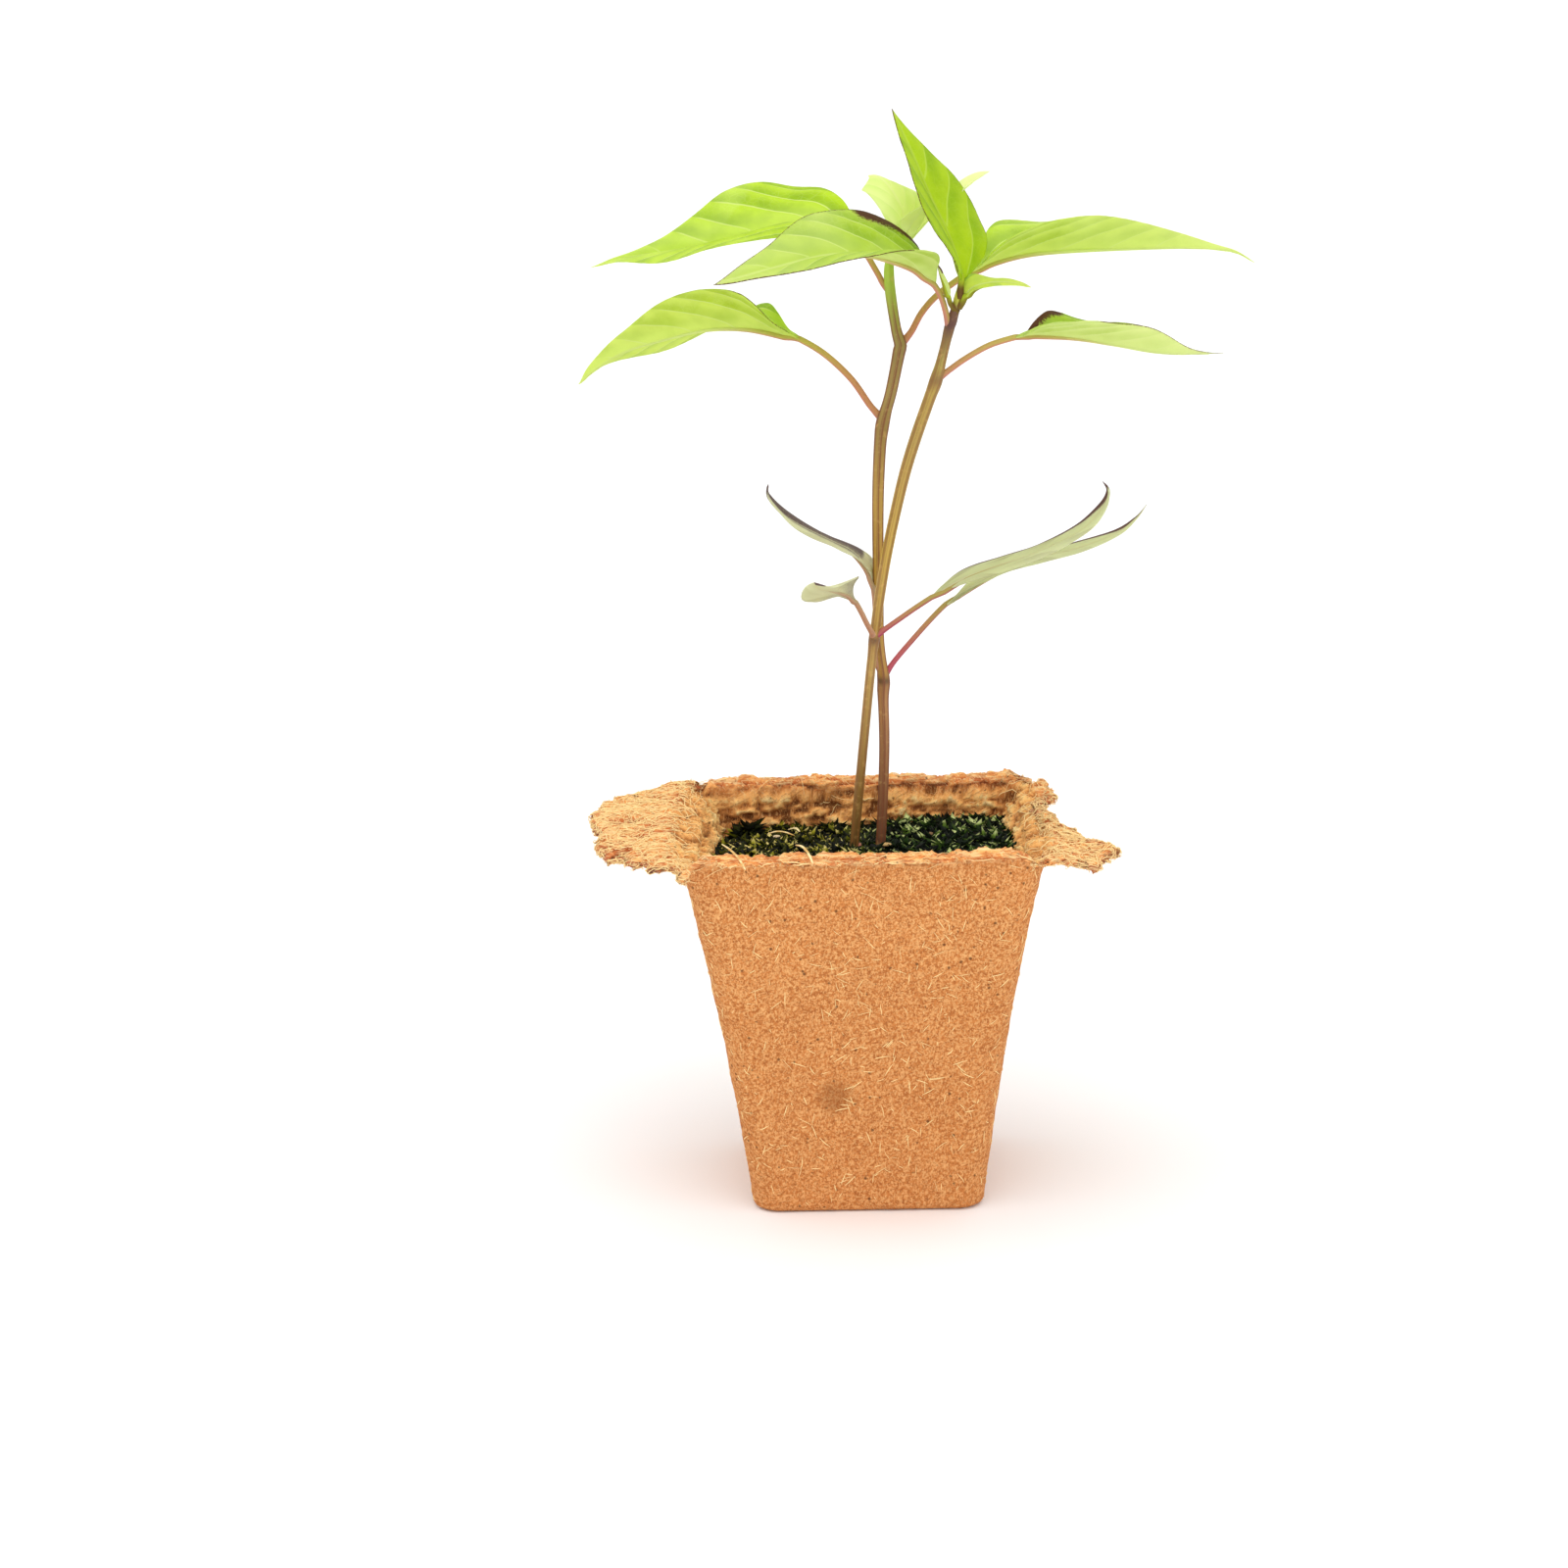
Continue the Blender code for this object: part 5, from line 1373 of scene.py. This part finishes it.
class Course:
    # the upright curve that a leaf's stalk and midrib follow, counted in even steps
    def __init__(self, name, leaf):
        heading = math.radians(leaf["heading"])
        self.foot = stemAt("front" if name.startswith("front") else "rear", leaf["height"])
        self.ahead = np.array([math.cos(heading), math.sin(heading), 0])
        self.profile = smoothPath(((0, 0),) + leaf["stalk"] + leaf["blade"], blade["profilePoints"])
        climb = np.gradient(self.profile, axis=0)
        self.slope = np.unwrap(np.arctan2(climb[:, 1], climb[:, 0]))
        self.step = np.linalg.norm(np.diff(self.profile, axis=0), axis=1).mean()
        away = np.linalg.norm(self.profile - np.array(leaf["stalk"][-1]), axis=1)
        self.stalkEnd = int(np.argmin(away))
        self.bladeSteps = len(self.profile) - 1 - self.stalkEnd

    def at(self, stops):
        # places and upward directions after so many steps
        rows = (*self.profile.T, self.slope)
        out, up, lean = (np.interp(stops, np.arange(len(self.profile)), row) for row in rows)
        centre = self.foot + np.outer(out, self.ahead) + np.outer(up, (0, 0, 1))
        normal = np.outer(np.cos(lean), (0, 0, 1)) - np.outer(np.sin(lean), self.ahead)
        return centre, normal


def bentBlade(leaf, course, t, share):
    # places and facings of the blade before it is quilted, and how wide its half is there
    centre, normal = course.at(course.stalkEnd + t * course.bladeSteps)
    left = np.array([-course.ahead[1], course.ahead[0], 0])
    tall, waves, phase = leaf["wave"]
    top, facing = np.zeros((2, len(t), len(share), 3))
    halves = np.zeros((len(t), len(share)))
    for k, part in enumerate(share):
        key, sideways = ("left", left) if part < 0 else ("right", -left)
        half = np.maximum(alongBlade(leaf[key], t), 0)
        rise = np.radians(alongBlade(leaf[key + "Rise"], t))
        part = abs(part)
        wave = 0.5 * tall * part ** 2 * np.sin(2 * math.pi * waves * t + phase) * np.minimum(1, half / 3)
        arch = blade["arch"] * half * part * (1 - part)
        outward = sideways * np.cos(rise)[:, None] + normal * np.sin(rise)[:, None]
        turned = normal * np.cos(rise)[:, None] - sideways * np.sin(rise)[:, None]
        reach = part * np.maximum(half, 0.05)
        top[:, k] = centre + reach[:, None] * outward + normal * (wave + arch)[:, None]
        facing[:, k] = turned if part else normal
        halves[:, k] = half
    return top, facing, halves


def bladeRelief(look, flat, share, halves, cell, seed):
    # how high the quilting between the side veins and the ripples stand, and how deep the midrib lies
    away = np.abs(share) * halves
    between = 2 * (cell % 1) - 1          # -1 and 1 on the veins, 0 halfway
    calm = np.minimum(1, halves / 4) * np.minimum(1, away / 1.5) * (1 - np.abs(share) ** 4)
    quilt = blade["quilt"] * look["relief"] * (0.75 - between ** 2) * calm
    groove = blade["groove"] * np.exp(-(away / blade["grooveWidth"]) ** 2) * np.minimum(1, halves / 2)
    (tall, scale), (fine, fineScale) = blade["ripple"], blade["fineRipple"]
    ripple = tall * wobble(flat, scale, seed) + fine * look["relief"] * wobble(flat, fineScale, 3)
    return quilt - groove + ripple * np.minimum(1, halves / 3)


def tintOf(leaf, t, share, halves):
    away = np.abs(share) * halves
    tint = np.zeros_like(away)
    for key, start, stop, width, strength in leaf["tint"]:
        mine = share < 0 if key == "left" else share > 0
        span = np.clip((t - start) / 0.05 + 0.2, 0, 1) * np.clip((stop - t) / 0.05 + 20 * (stop == 1), 0, 1)
        reach = (halves - away) / width if width > 0 else away / -width
        tint = np.maximum(tint, mine * span[:, None] * strength * np.clip(1.25 - reach, 0, 1))
    return tint


def paleOf(leaf, flat, t, share):
    tall, scale = blade["paleDrift"]
    pale = tableAt(leaf["pale"], t)[:, None] * (0.55 + 0.45 * np.abs(share))
    pale = np.clip(pale + tall * wobble(flat, scale, 8) * (pale > 0.1), 0, 1)
    return pale * np.where(share < 0, leaf["paleLeft"], 1.0)


def bladeSheet(leaf, look, course):
    # the blade's top from left to right, then its underside back
    length = course.bladeSteps * course.step
    widest = max(max(leaf["left"]), max(leaf["right"]))
    rows = int(np.clip(length / blade["cell"], *blade["rows"]))
    columns = int(np.clip(widest / blade["cell"], *blade["columns"]))
    crowded = (1 - np.cos(np.linspace(0.04, math.pi - 0.02, rows))) / 2
    t = crowded * blade["bunched"] + np.linspace(0.0005, 0.9995, rows) * (1 - blade["bunched"])
    share = np.linspace(0, 1, columns + 1) ** 0.9
    share = np.concatenate([-share[::-1], share[1:]])
    top, facing, halves = bentBlade(leaf, course, t, share)
    away = np.abs(share) * halves
    along = np.broadcast_to((t * length)[:, None], away.shape)
    flat = np.stack([along, away * np.sign(share), 0 * away], axis=-1)

    tall, scale = blade["veinDrift"]
    origin = along - away * (blade["veinLean"] + blade["veinBend"] * away)
    origin = origin + tall * wobble(flat, scale, leaf["heading"]) + 60        # 60 keeps it above 0
    cell = origin / look["gap"] + blade["veinShift"] * (share > 0)
    top = top + facing * bladeRelief(look, flat, share, halves, cell, leaf["heading"])[..., None]
    thin = blade["thick"] / 2 * (1 - blade["marginThin"] * np.abs(share) ** 6) * np.minimum(1, 0.35 + halves)
    upper, lower = top + facing * thin[..., None], top - facing * thin[..., None]

    none = 0 * away
    layers = {
        "along": along, "across": flat[..., 1], "edge": halves - away, "under": none,
        "tint": tintOf(leaf, t, share, halves), "cell": cell, "pale": paleOf(leaf, flat, t, share),
        "rib": none, "low": none,
    }
    layers = {key: np.concatenate([values, values[:, ::-1]], axis=1) for key, values in layers.items()}
    layers["under"][:, len(share):] = 1
    return skinSheet(np.concatenate([upper, lower[:, ::-1]], axis=1), layers)


def stalkSheet(leaf, look, course):
    # the stalk, which runs on as the midrib under the blade
    before, after = blade["tubeRings"]
    onStalk = np.linspace(0, course.stalkEnd, before, endpoint=False)
    underBlade = course.stalkEnd + np.linspace(0, blade["ribEnd"], after) * course.bladeSteps
    stops = np.concatenate([onStalk, underBlade])
    centre, normal = course.at(stops)
    onBlade = np.clip((stops - course.stalkEnd) / course.bladeSteps, 0, 1)
    radius = leaf["stalkRadius"] * (1 - onBlade) ** look["ribTaper"] + 0.03
    radius *= 1 + (blade["foot"] - 1) * np.exp(-(stops * course.step / blade["footReach"]) ** 2)
    share, more = blade["ribSink"]
    centre = centre - normal * (rising(onBlade, 0, 0.06) * (radius * share + more))[:, None]
    tube, turn = tubePlaces(centre, radius, blade["tubeSides"])
    _, across, other = ringFrames(centre)
    outward = across[:, None] * np.cos(turn)[None, :, None] + other[:, None] * np.sin(turn)[None, :, None]
    ones = np.ones(tube.shape[:2])
    return skinSheet(tube, {
        "along": ones * ((stops - course.stalkEnd) * course.step)[:, None], "across": 0 * ones,
        "edge": ones, "under": ones, "tint": 0 * ones, "cell": 0.5 * ones, "pale": 0 * ones, "rib": ones,
        "low": -np.einsum("ijk,ik->ij", outward, normal),
    })


def makeLeaf(name, leaf):
    leaf = {**leafUsual, **leaf}
    look = looks[leaf["look"]]
    course = Course(name, leaf)
    bm = bladeSheet(leaf, look, course)
    joinInto(bm, stalkSheet(leaf, look, course))
    return finishPiece(name, bm, [look["material"]], [nodeOf(name)])


for key, look in looks.items():
    look["material"] = leafMaterial(key + "Leaf", look)
for name, leaf in leaves.items():
    makeLeaf(name, leaf)
print("leaves made:", len(leaves))
